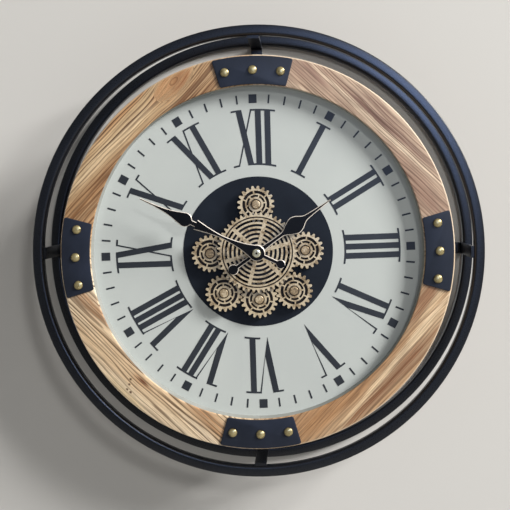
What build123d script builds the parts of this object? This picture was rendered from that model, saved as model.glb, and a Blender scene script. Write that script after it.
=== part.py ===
"""Round wall clock: an open steel cage, a wooden ring, a printed dial and turning show gears.

The origin is on the axis of the hands, in the plane of the wall. The dial faces -Y and +Z is up.
All lengths are in millimetres. Depths are counted from the wall towards the room.
"""
import os
from math import acos, asin, atan2, cos, degrees, radians, sin, sqrt

from build123d import *

# Clearances
running_play = 0.05
hole_play = 0.15
seat_play = 0.3
joint_gap = 0.2
cut_over = 1.0

# Steel cage: two equal rings of flat bar, joined by four brackets
ring_radius = 230.0
ring_bar_width = 10.7
ring_bar_depth = 8.0
ring_inner_round = 3.0
ring_outer_round = 1.2
cage_depth = 67.0
bracket_angles = {"right": -2.3, "top": 89.35, "left": 178.6, "bottom": 268.5}
bracket_width = 12.0
bracket_thickness = 3.0
bracket_setback = 1.5
bracket_weld = 3.0
bracket_foot_reach = 18.0

# Sheet steel drum that carries the wooden ring: a hoop between two flange rings
drum_inset = 8.8
drum_depth = 56.0
drum_sheet = 1.5
drum_flange = 22.0

# Wooden ring of four segments
cage_gap = 22.5
wood_width = 30.3
wood_thickness = 18.0
wood_edge_round = 1.2
rabbet_width = 9.5
rabbet_depth = 6.0

# Cover plates over the joints of the ring
plate_half_angle = 12.0
plate_taper_angle = 0.7
joint_angles = {"right": -1.6, "top": 89.45, "left": 179.6, "bottom": 268.95}
plate_thickness = 1.5
plate_inset_outer = 1.3
plate_inset_inner = 0.9
plate_corner_round = 2.0
nail_head_radius = 4.5
nail_head_height = 2.6
nail_shank_radius = 1.2
nail_length = 12.0
nail_inset_angle = 3.2

# Dial and its print
dial_sheet = 0.5
print_thickness = 0.2
disc_margin = 3.7
disc_thickness = 0.3
mark_margin = 7.8
mark_length = 8.8
hour_mark_width = 8.1
minute_mark_width = 1.7
hours_on_dial = 12
minutes_on_dial = 60

# Roman numerals: strokes and serifs, then each letter with where its strokes cross the head line
# and the foot line, from the hour line to the right: a bar's middle at head and foot; a V's bar
# and hairline at the head and its apex; an X's bar at head and foot, then its hairline
numeral_gap = 5.9
numeral_foot_gap = 11.7
numeral_bar = 5.9
numeral_hairline = 1.4
serif_thickness = 1.75
serif_overhang = 4.9
serif_steps = 8
v_crotch_share = 0.34
numeral_letters = {
    "I": (("I", -1.0, -1.0),),
    "II": (("I", -5.8, -5.8), ("I", 3.3, 3.3)),
    "III": (("I", -10.6, -10.6), ("I", -1.4, -1.4), ("I", 7.9, 7.9)),
    "IV": (("I", -12.3, -7.8), ("V", -1.5, 13.3, 5.3)),
    "V": (("V", -6.7, 8.0, -0.2),),
    "VI": (("V", -13.2, 2.1, -6.2), ("I", 9.2, 8.9)),
    "VII": (("V", -19.4, -4.6, -11.6), ("I", 2.0, -1.7), ("I", 10.0, 6.3)),
    "VIII": (("V", -23.5, -8.7, -14.8), ("I", -2.1, -4.9), ("I", 5.9, 3.1), ("I", 14.2, 11.4)),
    "IX": (("I", -9.3, -9.3), ("X", 1.1, 9.4, 11.1, -1.6)),
    "X": (("X", -6.3, 3.4, 6.3, -6.7),),
    "XI": (("X", -11.8, 0.0, 0.5, -10.6), ("I", 10.5, 8.4)),
    "XII": (("X", -14.7, -3.7, -2.3, -15.5), ("I", 4.8, 4.7), ("I", 14.4, 13.7)),
}

# Show gears
gear_module = 1.8
small_teeth = 20
drive_teeth = 33
front_teeth = 48
gear_addendum = 0.6
gear_dedendum = 2.3
tooth_tip_width = 1.3
tooth_pitch_width = 2.3
tooth_root_width = 3.5
gear_standoff = 3.7
gear_thickness = 4.5
gear_floor = 1.5
gear_rim = 2.0
outer_slot = 2.9
middle_rim = 1.3
inner_slot = 2.1
gear_bars = 6
cap_recess_play = 1.1
cap_recess_depth = 1.4
cap_radius = 4.3
cap_height = 2.6
cap_round = 0.7
gear_bar_width = 1.3
stud_radius = 2.5
stud_collar_radius = 4.2
wing_clearance = 5.7
drive_phase = 90.0

# Front wheel, fixed before the drive wheel
wheel_tip_radius = 40.3
wheel_tooth_height = 3.1
wheel_tip_width = 1.2
wheel_root_width = 3.3
wheel_thickness = 4.0
wheel_gap = 1.0
wheel_groove_inset = 2.3
wheel_groove_width = 1.4
wheel_groove_depth = 1.4
wheel_hub_radius = 8.0
wheel_slot_width = 2.4
wheel_slot_inset = 3.5
wheel_slot_pitch = 4.4
wheel_slot_rows = 6
wheel_spokes = 6
wheel_spoke_width = 3.6
wheel_spoke_angle = 14.0

# Movement and its shafts
movement_depth = 16.5
movement_wall = 1.5
cell_radius = 7.1
cell_length = 50.0
cell_end_room = 1.5
cell_nub_radius = 2.7
cell_nub_length = 1.0
bush_radius = 4.0
bush_flange_radius = 7.0
bush_flange_thickness = 1.7
bush_nut_flats = 13.0
bush_nut_thickness = 3.0
clip_radius = 6.2
clip_thickness = 0.8
tube_radius = 2.8
arbor_radius = 1.5
pivot_radius = 1.0
pivot_end = 0.3
train_wheel_thickness = 1.0
hour_wheel_radius = 10.0
minute_wheel_radius = 8.0
knob_radius = 6.5
knob_height = 4.5
knob_inset_x = 14.0
knob_inset_z = 16.0
knob_shaft_radius = 1.5
knob_ribs = 24
knob_rib_radius = 0.5

# Hands
hand_thickness = 1.2
hour_hand_gap = 3.2
minute_hand_gap = 3.8
hand_hub_radius = 8.0
hand_neck_width = 4.0
hour_ball_radius = 5.2
hour_ball_reach = 28.9
minute_ball_radius = 4.5
minute_ball_reach = 25.9
hand_nut_radius = 4.15
hand_nut_height = 4.4
hand_nut_round = 1.6
hand_nut_dimple = 1.0
hours_shown = 1
minute_angle = 297.0
hour_hand_slip = 1.5

# Half widths of the hands and their distances from the axis, from hub to tip, as shares of the reach
hour_reach = 89.7
minute_reach = 126.8
hour_blade = (
    (0.0301, 0.0557), (0.0218, 0.2731), (0.0279, 0.3623), (0.0708, 0.4415),
    (0.0975, 0.5162), (0.0830, 0.5719), (0.0402, 0.6388), (0.0234, 0.7358),
    (0.0156, 0.8640), (0.0060, 1.0000),
)
minute_stem = (
    (0.0536, 0.0315), (0.0307, 0.1167), (0.0170, 0.2129),
    (0.0122, 0.2997), (0.0217, 0.4062), (0.0402, 0.5205),
)
minute_spade = (
    (0.0193, 0.5599), (0.0412, 0.5773), (0.0558, 0.6130), (0.0490, 0.6467),
    (0.0331, 0.7019), (0.0193, 0.7689), (0.0118, 0.8399), (0.0045, 1.0000),
)

# Gear drive behind the dial
case_gap = 3.0
drive_depth = 20.0
drive_wall = 1.5
shaft_radius = 2.0
shaft_tail_radius = 1.2
last_wheel_radius = 9.0
last_wheel_thickness = 2.0
last_wheel_room = 5.5
motor_radius = 6.4
motor_length = 9.5
motor_pinion_radius = 3.0

# Battery tray of the gear drive
tray_gap = 7.7
tray_wall = 1.5
tray_depth = 16.0
tray_end_room = 2.0
contact_thickness = 0.5
contact_width = 9.0
lead_radius = 0.8
lead_pitch = 2.4
lead_bend = 6.0
lead_room = 9.5

# Back panel, its screws and the hanger
panel_thickness = 4.0
access_width = 136.0
access_top = 88.0
access_bottom = -82.0
access_round = 8.0
screw_radius = 2.0
screw_head_radius = 3.6
screw_head_height = 2.2
segment_screw_length = 12.0
segment_screw_angle = 25.0
hanger_width = 64.0
hanger_height = 30.0
hanger_thickness = 1.5
hanger_hole_radius = 5.0
hanger_slot_radius = 2.5
hanger_slot_rise = 11.0
hanger_margin = 13.5
hanger_screw_inset = 8.0
hanger_pocket_play = 2.0

# Radii, and depths from the wall
ring_inner = ring_radius - ring_bar_width
wood_radius = ring_inner - cage_gap
drum_radius = wood_radius - drum_inset
drum_back = ring_bar_depth
drum_inner = drum_radius - drum_sheet
flange_inner = drum_radius - drum_flange
wood_back = drum_back + drum_depth
wood_face = wood_back + wood_thickness
wood_inner = wood_radius - wood_width
rabbet_radius = wood_inner + rabbet_width
dial_radius = rabbet_radius - seat_play
dial_front = wood_back + rabbet_depth
mark_outer = wood_inner - mark_margin
mark_inner = mark_outer - mark_length
numeral_outer = mark_inner - numeral_gap
small_pitch_radius = gear_module * small_teeth / 2
drive_pitch_radius = gear_module * drive_teeth / 2
mesh_distance = drive_pitch_radius + small_pitch_radius
wing_distance = mesh_distance + wing_clearance
disc_radius = wing_distance + small_pitch_radius + gear_addendum + disc_margin
numeral_inner = disc_radius + numeral_foot_gap
disc_front = dial_front + disc_thickness
plate_front = wood_face + plate_thickness
plate_outer = wood_radius - plate_inset_outer
plate_inner = wood_inner + plate_inset_inner
nail_circle = (plate_outer + plate_inner) / 2
nail_spread_angle = plate_half_angle - nail_inset_angle
gear_back = disc_front + gear_standoff
gear_front = gear_back + gear_thickness
wheel_back = gear_front + wheel_gap
wheel_front = wheel_back + wheel_thickness
clip_front = wheel_front + 2 * joint_gap + clip_thickness
hour_hand_back = clip_front + hour_hand_gap
minute_hand_back = hour_hand_back + hand_thickness + minute_hand_gap
nut_back = minute_hand_back + hand_thickness
nut_front = nut_back + hand_nut_height
movement_side = cell_length + 2 * (cell_end_room + movement_wall)
knob_offset_x = movement_side / 2 - knob_inset_x
knob_offset_z = movement_side / 2 - knob_inset_z
movement_back_depth = wood_back - movement_depth
drive_back_depth = wood_back - drive_depth
panel_back = drum_back + drum_sheet
panel_front = panel_back + panel_thickness
panel_radius = drum_inner - seat_play

os.makedirs("parts", exist_ok=True)


def front(depth, turn=0.0):
    """Plane parallel to the wall, facing the room, turned about the axis of the hands."""
    return Plane(origin=(0, -depth, 0), x_dir=(cos(radians(turn)), 0, sin(radians(turn))), z_dir=(0, -1, 0))


def polar(radius, angle):
    """Point at a radius and an angle in degrees, counted from the right, anticlockwise."""
    return (radius * cos(radians(angle)), radius * sin(radians(angle)))


def ring_sector(inner, outer, start, end, taper=0.0):
    """Flat sector between two radii and two angles. At the inner radius taper comes off each end."""
    with BuildSketch() as sector:
        with BuildLine():
            CenterArc((0, 0), outer, start, end - start)
            Line(polar(outer, start), polar(inner, start + taper))
            CenterArc((0, 0), inner, start + taper, end - start - 2 * taper)
            Line(polar(outer, end), polar(inner, end - taper))
        make_face()
    return sector.sketch


def gear_outline(teeth, flank, phase):
    """Toothed outline. flank lists (radius, tooth width there) from root to tip, phase turns a tooth."""
    points = []
    for tooth in range(teeth):
        centre = phase + 360.0 * tooth / teeth
        half_angles = [(radius, degrees(width / 2 / radius)) for radius, width in flank]
        points += [polar(radius, centre - half) for radius, half in half_angles]
        points += [polar(radius, centre + half) for radius, half in reversed(half_angles)]
    with BuildSketch() as outline:
        with BuildLine():
            Polyline(*points, close=True)
        make_face()
    return outline.sketch


def save(builder, name):
    """Label a finished piece and write it."""
    builder.part.label = name
    export_step(builder.part, f"parts/{name}.step")


# Steel rings
for name, ring_back in (("back_ring", 0.0), ("front_ring", cage_depth - ring_bar_depth)):
    with BuildPart() as ring:
        with BuildSketch(front(ring_back)):
            Circle(ring_radius)
            Circle(ring_inner, mode=Mode.SUBTRACT)
        extrude(amount=ring_bar_depth)
        edges = ring.edges().filter_by(GeomType.CIRCLE).group_by(SortBy.RADIUS)
        fillet(edges[0], ring_inner_round)
        fillet(edges[-1], ring_outer_round)
    save(ring, name)

# Brackets: a strip inside both rings and a welded foot under the drum's rear flange
strip_outer = sqrt(ring_inner**2 - (bracket_width / 2) ** 2)
strip_inner = strip_outer - bracket_thickness
foot_back = drum_back - bracket_thickness
foot_end = drum_radius - bracket_foot_reach
foot_screw_circle = (foot_end + drum_radius) / 2
for side, angle in bracket_angles.items():
    outward = Vector(cos(radians(angle)), 0, sin(radians(angle)))
    along = Vector(-sin(radians(angle)), 0, cos(radians(angle)))
    with BuildPart() as bracket:
        with BuildSketch(Plane(origin=(0, 0, 0), x_dir=outward, z_dir=along)) as profile:
            with BuildLine():
                Polyline(
                    (strip_outer, -bracket_setback),
                    (strip_outer, -(cage_depth - bracket_setback)),
                    (strip_inner, -(cage_depth - bracket_setback)),
                    (strip_inner, -drum_back),
                    (foot_end, -drum_back),
                    (foot_end, -foot_back),
                    (strip_inner, -foot_back),
                    (strip_inner, -bracket_setback),
                    close=True,
                )
            make_face()
            fillet(profile.vertices().sort_by_distance((strip_inner, -drum_back))[0], bracket_weld)
        extrude(amount=bracket_width / 2, both=True)
        with BuildSketch(front(foot_back)):
            with Locations(polar(foot_screw_circle, angle)):
                Circle(screw_radius + hole_play)
        extrude(amount=bracket_thickness, mode=Mode.SUBTRACT)
    save(bracket, f"bracket_{side}")

# Drum: a hoop with a flange ring welded on at each end
segment_screw_circle = (rabbet_radius + drum_inner) / 2
panel_screw_angles = (45.0, 135.0, 225.0, 315.0)
segment_screw_angles = [
    middle + sign * segment_screw_angle for middle in panel_screw_angles for sign in (-1, 1)
]
with BuildPart() as hoop:
    with BuildSketch(front(drum_back + drum_sheet)):
        Circle(drum_radius)
        Circle(drum_inner, mode=Mode.SUBTRACT)
    extrude(amount=drum_depth - 2 * drum_sheet)
save(hoop, "drum_hoop")

rear_holes = [polar(foot_screw_circle, a) for a in (*bracket_angles.values(), *panel_screw_angles)]
front_holes = [polar(segment_screw_circle, a) for a in segment_screw_angles]
flanges = {"rear": (drum_back, rear_holes), "front": (wood_back - drum_sheet, front_holes)}
for side, (flange_back, holes) in flanges.items():
    with BuildPart() as flange:
        with BuildSketch(front(flange_back)):
            Circle(drum_radius)
            Circle(flange_inner, mode=Mode.SUBTRACT)
            with Locations(*holes):
                Circle(screw_radius + hole_play, mode=Mode.SUBTRACT)
        extrude(amount=drum_sheet)
    save(flange, f"drum_flange_{side}")

# Wooden ring segments, butted under the cover plates
nail_spreads = (-nail_spread_angle, 0.0, nail_spread_angle)
nail_angles = [base + spread for base in joint_angles.values() for spread in nail_spreads]
gap_angle = degrees(joint_gap / 2 / wood_inner)
segment_joints = {
    "upper_right": ("right", "top"),
    "upper_left": ("top", "left"),
    "lower_left": ("left", "bottom"),
    "lower_right": ("bottom", "right"),
}
for name, (first, last) in segment_joints.items():
    start = joint_angles[first]
    end = start + (joint_angles[last] - start) % 360.0
    with BuildPart() as segment:
        with BuildSketch(front(wood_back)):
            add(ring_sector(wood_inner, wood_radius, start + gap_angle, end - gap_angle))
        extrude(amount=wood_thickness)
        front_edges = segment.edges().filter_by(GeomType.CIRCLE).group_by(Axis.Y)[0]
        fillet(front_edges, wood_edge_round)
        with BuildSketch(front(wood_back)):
            Circle(rabbet_radius)
        extrude(amount=rabbet_depth, mode=Mode.SUBTRACT)
        with BuildSketch(front(wood_back)):
            with Locations(*[polar(segment_screw_circle, a) for a in segment_screw_angles]):
                Circle(screw_radius + hole_play)
        extrude(amount=segment_screw_length, mode=Mode.SUBTRACT)
        with BuildSketch(front(wood_face)):
            with Locations(*[polar(nail_circle, a) for a in nail_angles]):
                Circle(nail_shank_radius + hole_play)
        extrude(amount=-nail_length, mode=Mode.SUBTRACT)
    save(segment, f"wood_segment_{name}")

# Cover plates over the joints
for side, angle in joint_angles.items():
    start, end = angle - plate_half_angle, angle + plate_half_angle
    with BuildPart() as plate:
        with BuildSketch(front(wood_face)) as outline:
            add(ring_sector(plate_inner, plate_outer, start, end, plate_taper_angle))
            fillet(outline.vertices(), plate_corner_round)
            with Locations(*[polar(nail_circle, angle + spread) for spread in nail_spreads]):
                Circle(nail_shank_radius + hole_play, mode=Mode.SUBTRACT)
        extrude(amount=plate_thickness)
    save(plate, f"cover_plate_{side}")

# Dome-headed nails
dome_radius = (nail_head_radius**2 + nail_head_height**2) / (2 * nail_head_height)
dome_half = asin(nail_head_radius / dome_radius) / 2
dome_shoulder = (dome_radius * sin(dome_half), dome_radius * (1 - cos(dome_half)) - nail_head_height)
with BuildPart() as nails:
    for angle in nail_angles:
        x, z = polar(nail_circle, angle)
        with BuildSketch(Plane(origin=(x, -plate_front, z), x_dir=(1, 0, 0), z_dir=(0, 0, 1))):
            with BuildLine():
                ThreePointArc((nail_head_radius, 0), dome_shoulder, (0, -nail_head_height))
                Line((0, -nail_head_height), (0, 0))
                Line((0, 0), (nail_head_radius, 0))
            make_face()
        revolve(axis=Axis((x, 0, z), (0, 1, 0)))
        with BuildSketch(Plane(origin=(x, -plate_front, z), x_dir=(1, 0, 0), z_dir=(0, -1, 0))):
            Circle(nail_shank_radius)
        extrude(amount=-(nail_length - joint_gap))
save(nails, "dome_nails")

# Gear train places and phases
pair_distance = 2 * small_pitch_radius
wing_angle = degrees(
    acos((wing_distance**2 + mesh_distance**2 - pair_distance**2) / (2 * wing_distance * mesh_distance))
)
bottom_angle = 270.0
gear_places = {
    "gear_top": polar(mesh_distance, 90.0),
    "gear_right": polar(mesh_distance, 0.0),
    "gear_bottom": polar(mesh_distance, bottom_angle),
    "gear_left": polar(mesh_distance, 180.0),
    "gear_lower_left": polar(wing_distance, bottom_angle - wing_angle),
    "gear_lower_right": polar(wing_distance, bottom_angle + wing_angle),
}


def meshing_phase(driver_place, driver_teeth, driver_phase, place, teeth):
    """Turn of a gear whose gap meets the driver's tooth on the line of centres."""
    line = degrees(atan2(place[1] - driver_place[1], place[0] - driver_place[0]))
    driver_pitch = 360.0 / driver_teeth
    past_tooth = ((line - driver_phase) % driver_pitch) / driver_pitch
    return line + 180.0 + (past_tooth + 0.5) * 360.0 / teeth


gear_phases = {}
for name in ("gear_top", "gear_right", "gear_bottom", "gear_left"):
    gear_phases[name] = meshing_phase((0, 0), drive_teeth, drive_phase, gear_places[name], small_teeth)
for name in ("gear_lower_left", "gear_lower_right"):
    gear_phases[name] = meshing_phase(
        gear_places["gear_bottom"], small_teeth, gear_phases["gear_bottom"], gear_places[name], small_teeth
    )
stud_places = [place for name, place in gear_places.items() if name != "gear_top"]
shaft_place = gear_places["gear_top"]

# Dial board, printed sheet and black centre disc, pierced for the bush, studs and drive shaft
layers = (
    ("dial_board", dial_radius, wood_back, rabbet_depth - dial_sheet),
    ("dial_face", dial_radius, dial_front - dial_sheet, dial_sheet),
    ("centre_disc", disc_radius, dial_front, disc_thickness),
)
for name, radius, back, thickness in layers:
    with BuildPart() as layer:
        with BuildSketch(front(back)):
            Circle(radius)
            Circle(bush_radius + hole_play, mode=Mode.SUBTRACT)
            with Locations(*stud_places):
                Circle(stud_radius + hole_play, mode=Mode.SUBTRACT)
            with Locations(shaft_place):
                Circle(shaft_radius + 2 * hole_play, mode=Mode.SUBTRACT)
        extrude(amount=thickness)
    save(layer, name)

# Minute track: a square at each hour, a tick at each other minute
with BuildPart() as marks:
    with BuildSketch(front(dial_front)):
        for minute in range(minutes_on_dial):
            on_hour = minute % (minutes_on_dial // hours_on_dial) == 0
            width = hour_mark_width if on_hour else minute_mark_width
            with PolarLocations((mark_inner + mark_outer) / 2, 1, 90.0 - 360.0 * minute / minutes_on_dial):
                Rectangle(mark_outer - mark_inner, width)
    extrude(amount=print_thickness)
save(marks, "minute_marks")

# Roman numerals, each with its foot towards the centre
def joined(spans):
    """Spans in order, with those that overlap made one."""
    rows = []
    for left, right in sorted(spans):
        if rows and left <= rows[-1][1]:
            rows[-1] = (rows[-1][0], max(right, rows[-1][1]))
        else:
            rows.append((left, right))
    return rows


def numeral_strokes(letters):
    """Polygons of a numeral's strokes and serifs: distance across the hour line, and radius."""
    low, high = numeral_inner, numeral_outer
    foot_end, head_end = low + serif_thickness / 2, high - serif_thickness / 2
    bar, hair = numeral_bar / 2, numeral_hairline / 2
    strokes, head_serifs, foot_serifs = [], [], []

    def stroke(head, foot, half):
        strokes.append([
            (head - half, head_end), (foot - half, foot_end),
            (foot + half, foot_end), (head + half, head_end),
        ])

    for letter, *places in letters:
        if letter == "I":
            head, foot = places
            stroke(head, foot, bar)
            head_serifs.append((head - bar - serif_overhang, head + bar + serif_overhang))
            foot_serifs.append((foot - bar - serif_overhang, foot + bar + serif_overhang))
        elif letter == "V":
            head, thin_head, apex = places
            crotch_height = low + v_crotch_share * (high - low)
            crotch = apex + v_crotch_share * (thin_head - apex)
            strokes.append([
                (head - bar, head_end),
                (apex, low),
                (thin_head + hair, head_end),
                (thin_head - hair, head_end),
                (crotch, crotch_height),
                (head + bar, head_end),
            ])
            head_serifs.append((head - bar - serif_overhang, head + bar))
            head_serifs.append((thin_head - hair, thin_head + hair + serif_overhang))
        else:
            head, foot, thin_head, thin_foot = places
            stroke(head, foot, bar)
            stroke(thin_head, thin_foot, hair)
            head_serifs.append((head - bar - serif_overhang, head + bar))
            head_serifs.append((thin_head - hair, thin_head + hair + serif_overhang))
            foot_serifs.append((thin_foot - hair - serif_overhang, thin_foot + hair))
            foot_serifs.append((foot - bar, foot + bar + serif_overhang))
    for spans, bottom in ((head_serifs, high - serif_thickness), (foot_serifs, low)):
        for left, right in joined(spans):
            run = [left + (right - left) * step / serif_steps for step in range(serif_steps + 1)]
            strokes.append(
                [(across, bottom) for across in run]
                + [(across, bottom + serif_thickness) for across in reversed(run)]
            )
    return strokes


with BuildPart() as numbers:
    for hour, letters in enumerate(numeral_letters.values(), start=1):
        with BuildSketch(front(dial_front, -360.0 * hour / hours_on_dial)):
            for outline in numeral_strokes(letters):
                points = [(across, sqrt(radius**2 - across**2)) for across, radius in outline]
                with BuildLine():
                    Polyline(*points, close=True)
                make_face()
        extrude(amount=print_thickness)
save(numbers, "hour_numerals")

# Small show gears: two rows of slots left between three rims, and a recess for the cap
small_root = small_pitch_radius - gear_dedendum
slot_rows = []
slot_edge = small_root - gear_rim
for slot_width, rim_width in ((outer_slot, middle_rim), (inner_slot, 0.0)):
    slot_rows.append((slot_edge, slot_edge - slot_width))
    slot_edge -= slot_width + rim_width
small_flank = (
    (small_root, tooth_root_width),
    (small_pitch_radius, tooth_pitch_width),
    (small_pitch_radius + gear_addendum, tooth_tip_width),
)
for name, (x, z) in gear_places.items():
    bore = shaft_radius if name == "gear_top" else stud_radius + running_play
    place = Plane(origin=(x, -gear_back, z), x_dir=(1, 0, 0), z_dir=(0, -1, 0))
    with BuildPart() as gear:
        with BuildSketch(place):
            add(gear_outline(small_teeth, small_flank, gear_phases[name]))
        extrude(amount=gear_thickness)
        for row, (slot_outer, slot_inner) in enumerate(slot_rows):
            bar_angle = gear_phases[name] + row * 180.0 / gear_bars
            with BuildSketch(place.offset(gear_floor)):
                Circle(slot_outer)
                Circle(slot_inner, mode=Mode.SUBTRACT)
                with PolarLocations((slot_outer + slot_inner) / 2, gear_bars, bar_angle):
                    Rectangle(slot_outer - slot_inner + cut_over, gear_bar_width, mode=Mode.SUBTRACT)
            extrude(amount=gear_thickness - gear_floor, mode=Mode.SUBTRACT)
        with BuildSketch(place.offset(gear_thickness - cap_recess_depth)):
            Circle(cap_radius + cap_recess_play)
        extrude(amount=cap_recess_depth, mode=Mode.SUBTRACT)
        with BuildSketch(place):
            Circle(bore)
        extrude(amount=gear_thickness, mode=Mode.SUBTRACT)
    save(gear, name)

# Studs that carry five of the gears: a collar on the dial, a journal and a round cap
cap_back = gear_front - cap_recess_depth + 2 * joint_gap
with BuildPart() as studs:
    for x, z in stud_places:
        base = Plane(origin=(x, 0, z), x_dir=(1, 0, 0), z_dir=(0, -1, 0))
        with BuildSketch(base.offset(wood_back)):
            Circle(stud_radius)
        extrude(amount=cap_back - wood_back)
        with BuildSketch(base.offset(disc_front)):
            Circle(stud_collar_radius)
        extrude(amount=gear_standoff - joint_gap)
        with BuildSketch(base.offset(cap_back)):
            Circle(cap_radius)
        extrude(amount=cap_height)
    fillet(studs.edges().filter_by(GeomType.CIRCLE).group_by(Axis.Y)[0], cap_round)
save(studs, "gear_studs")

# Drive wheel, hidden behind the front wheel
drive_flank = (
    (drive_pitch_radius - gear_dedendum, tooth_root_width),
    (drive_pitch_radius, tooth_pitch_width),
    (drive_pitch_radius + gear_addendum, tooth_tip_width),
)
with BuildPart() as drive_wheel:
    with BuildSketch(front(gear_back)):
        add(gear_outline(drive_teeth, drive_flank, drive_phase))
    extrude(amount=gear_thickness)
    with BuildSketch(front(gear_front)):
        Circle(wheel_hub_radius)
    extrude(amount=wheel_gap)
    with BuildSketch(front(gear_back)):
        Circle(bush_radius + running_play)
    extrude(amount=gear_thickness + wheel_gap, mode=Mode.SUBTRACT)
save(drive_wheel, "drive_wheel")

# Front wheel with rows of arc slots between its spokes
wheel_root_radius = wheel_tip_radius - wheel_tooth_height
wheel_groove_radius = wheel_root_radius - wheel_groove_inset
first_slot_row = wheel_groove_radius - wheel_slot_inset
wheel_flank = ((wheel_root_radius, wheel_root_width), (wheel_tip_radius, wheel_tip_width))
with BuildPart() as wheel:
    with BuildSketch(front(wheel_back)):
        add(gear_outline(front_teeth, wheel_flank, 0.0))
        Circle(bush_radius + running_play, mode=Mode.SUBTRACT)
    extrude(amount=wheel_thickness)
    with BuildSketch(front(wheel_front)):
        Circle(wheel_groove_radius + wheel_groove_width / 2)
        Circle(wheel_groove_radius - wheel_groove_width / 2, mode=Mode.SUBTRACT)
    extrude(amount=-wheel_groove_depth, mode=Mode.SUBTRACT)
    with BuildSketch(front(wheel_back)):
        for row in range(wheel_slot_rows):
            row_radius = first_slot_row - row * wheel_slot_pitch
            Circle(row_radius + wheel_slot_width / 2)
            Circle(row_radius - wheel_slot_width / 2, mode=Mode.SUBTRACT)
        with PolarLocations(wheel_groove_radius / 2, wheel_spokes, wheel_spoke_angle):
            Rectangle(wheel_groove_radius, wheel_spoke_width, mode=Mode.SUBTRACT)
    extrude(amount=wheel_thickness, mode=Mode.SUBTRACT)
save(wheel, "front_wheel")

# Movement: moulded case, back plate, threaded bush with its nut and clip
train_top = movement_side / 2 - movement_wall
bay_height = 2 * cell_radius + 2 * seat_play
bay_middle = -movement_side / 2 + movement_wall + bay_height / 2
train_bottom = bay_middle + bay_height / 2 + movement_wall
cavity_depth = movement_depth - movement_wall
cavity_width = movement_side - 2 * movement_wall
train_height = train_top - train_bottom
train_middle = (train_top + train_bottom) / 2
with BuildPart() as movement:
    with BuildSketch(front(movement_back_depth)):
        RectangleRounded(movement_side, movement_side, 2 * movement_wall)
    extrude(amount=movement_depth)
    with BuildSketch(front(movement_back_depth)):
        with Locations((0, train_middle)):
            Rectangle(cavity_width, train_height)
        with Locations((0, bay_middle)):
            Rectangle(cavity_width, bay_height)
    extrude(amount=cavity_depth, mode=Mode.SUBTRACT)
    with BuildSketch(front(movement_back_depth)):
        Circle(bush_radius + hole_play)
    extrude(amount=movement_depth, mode=Mode.SUBTRACT)
save(movement, "movement_case")

with BuildPart() as movement_lid:
    with BuildSketch(front(movement_back_depth)):
        with Locations((0, train_middle)):
            Rectangle(cavity_width - 2 * hole_play, train_height - 2 * hole_play)
        Circle(pivot_radius + running_play, mode=Mode.SUBTRACT)
        with Locations((knob_offset_x, knob_offset_z)):
            Circle(knob_shaft_radius + running_play, mode=Mode.SUBTRACT)
    extrude(amount=movement_wall)
save(movement_lid, "movement_back")


def cell(builder_plane, length, radius):
    """Round cell along its plane's axis, with the positive nub at the far end."""
    with BuildPart() as body:
        with BuildSketch(builder_plane):
            Circle(radius)
        extrude(amount=length - cell_nub_length)
        with BuildSketch(builder_plane.offset(length - cell_nub_length)):
            Circle(cell_nub_radius)
        extrude(amount=cell_nub_length)
    return body.part


cell_depth = wood_back - movement_wall - cell_radius - joint_gap
with BuildPart() as movement_cell:
    start = (-cell_length / 2, -cell_depth, bay_middle)
    add(cell(Plane(origin=start, x_dir=(0, 1, 0), z_dir=(1, 0, 0)), cell_length, cell_radius))
save(movement_cell, "movement_cell")

bush_back = wood_back - movement_wall - bush_flange_thickness
with BuildPart() as bush:
    with BuildSketch(front(bush_back)):
        Circle(bush_radius)
    extrude(amount=clip_front + joint_gap - bush_back)
    with BuildSketch(front(bush_back)):
        Circle(bush_flange_radius)
    extrude(amount=bush_flange_thickness)
    with BuildSketch(front(bush_back)):
        Circle(tube_radius + running_play)
    extrude(amount=clip_front + joint_gap - bush_back, mode=Mode.SUBTRACT)
save(bush, "threaded_bush")

with BuildPart() as bush_nut:
    with BuildSketch(front(disc_front)):
        RegularPolygon(bush_nut_flats / 2, 6, major_radius=False)
        Circle(bush_radius, mode=Mode.SUBTRACT)
    extrude(amount=bush_nut_thickness)
save(bush_nut, "bush_nut")

with BuildPart() as clip:
    with BuildSketch(front(clip_front - clip_thickness)):
        Circle(clip_radius)
        Circle(bush_radius, mode=Mode.SUBTRACT)
        with Locations((0, -clip_radius)):
            Rectangle(bush_radius, 2 * clip_radius, mode=Mode.SUBTRACT)
    extrude(amount=clip_thickness)
save(clip, "wheel_clip")

# Shafts of the hands
hour_wheel_back = bush_back - 2 * train_wheel_thickness
minute_wheel_back = hour_wheel_back - 3 * train_wheel_thickness
with BuildPart() as hour_tube:
    with BuildSketch(front(hour_wheel_back)):
        Circle(hour_wheel_radius)
    extrude(amount=train_wheel_thickness)
    with BuildSketch(front(hour_wheel_back)):
        Circle(tube_radius)
    extrude(amount=hour_hand_back + 2 * hand_thickness - hour_wheel_back)
    with BuildSketch(front(hour_wheel_back)):
        Circle(arbor_radius + running_play)
    extrude(amount=hour_hand_back + 2 * hand_thickness - hour_wheel_back, mode=Mode.SUBTRACT)
save(hour_tube, "hour_tube")

with BuildPart() as arbor:
    with BuildSketch(front(minute_wheel_back)):
        Circle(minute_wheel_radius)
    extrude(amount=train_wheel_thickness)
    with BuildSketch(front(movement_back_depth + movement_wall + joint_gap)):
        Circle(arbor_radius)
    extrude(amount=nut_back + hand_nut_height / 2 - movement_back_depth - movement_wall - joint_gap)
    with BuildSketch(front(movement_back_depth + pivot_end)):
        Circle(pivot_radius)
    extrude(amount=movement_wall + joint_gap - pivot_end)
save(arbor, "minute_arbor")

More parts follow.
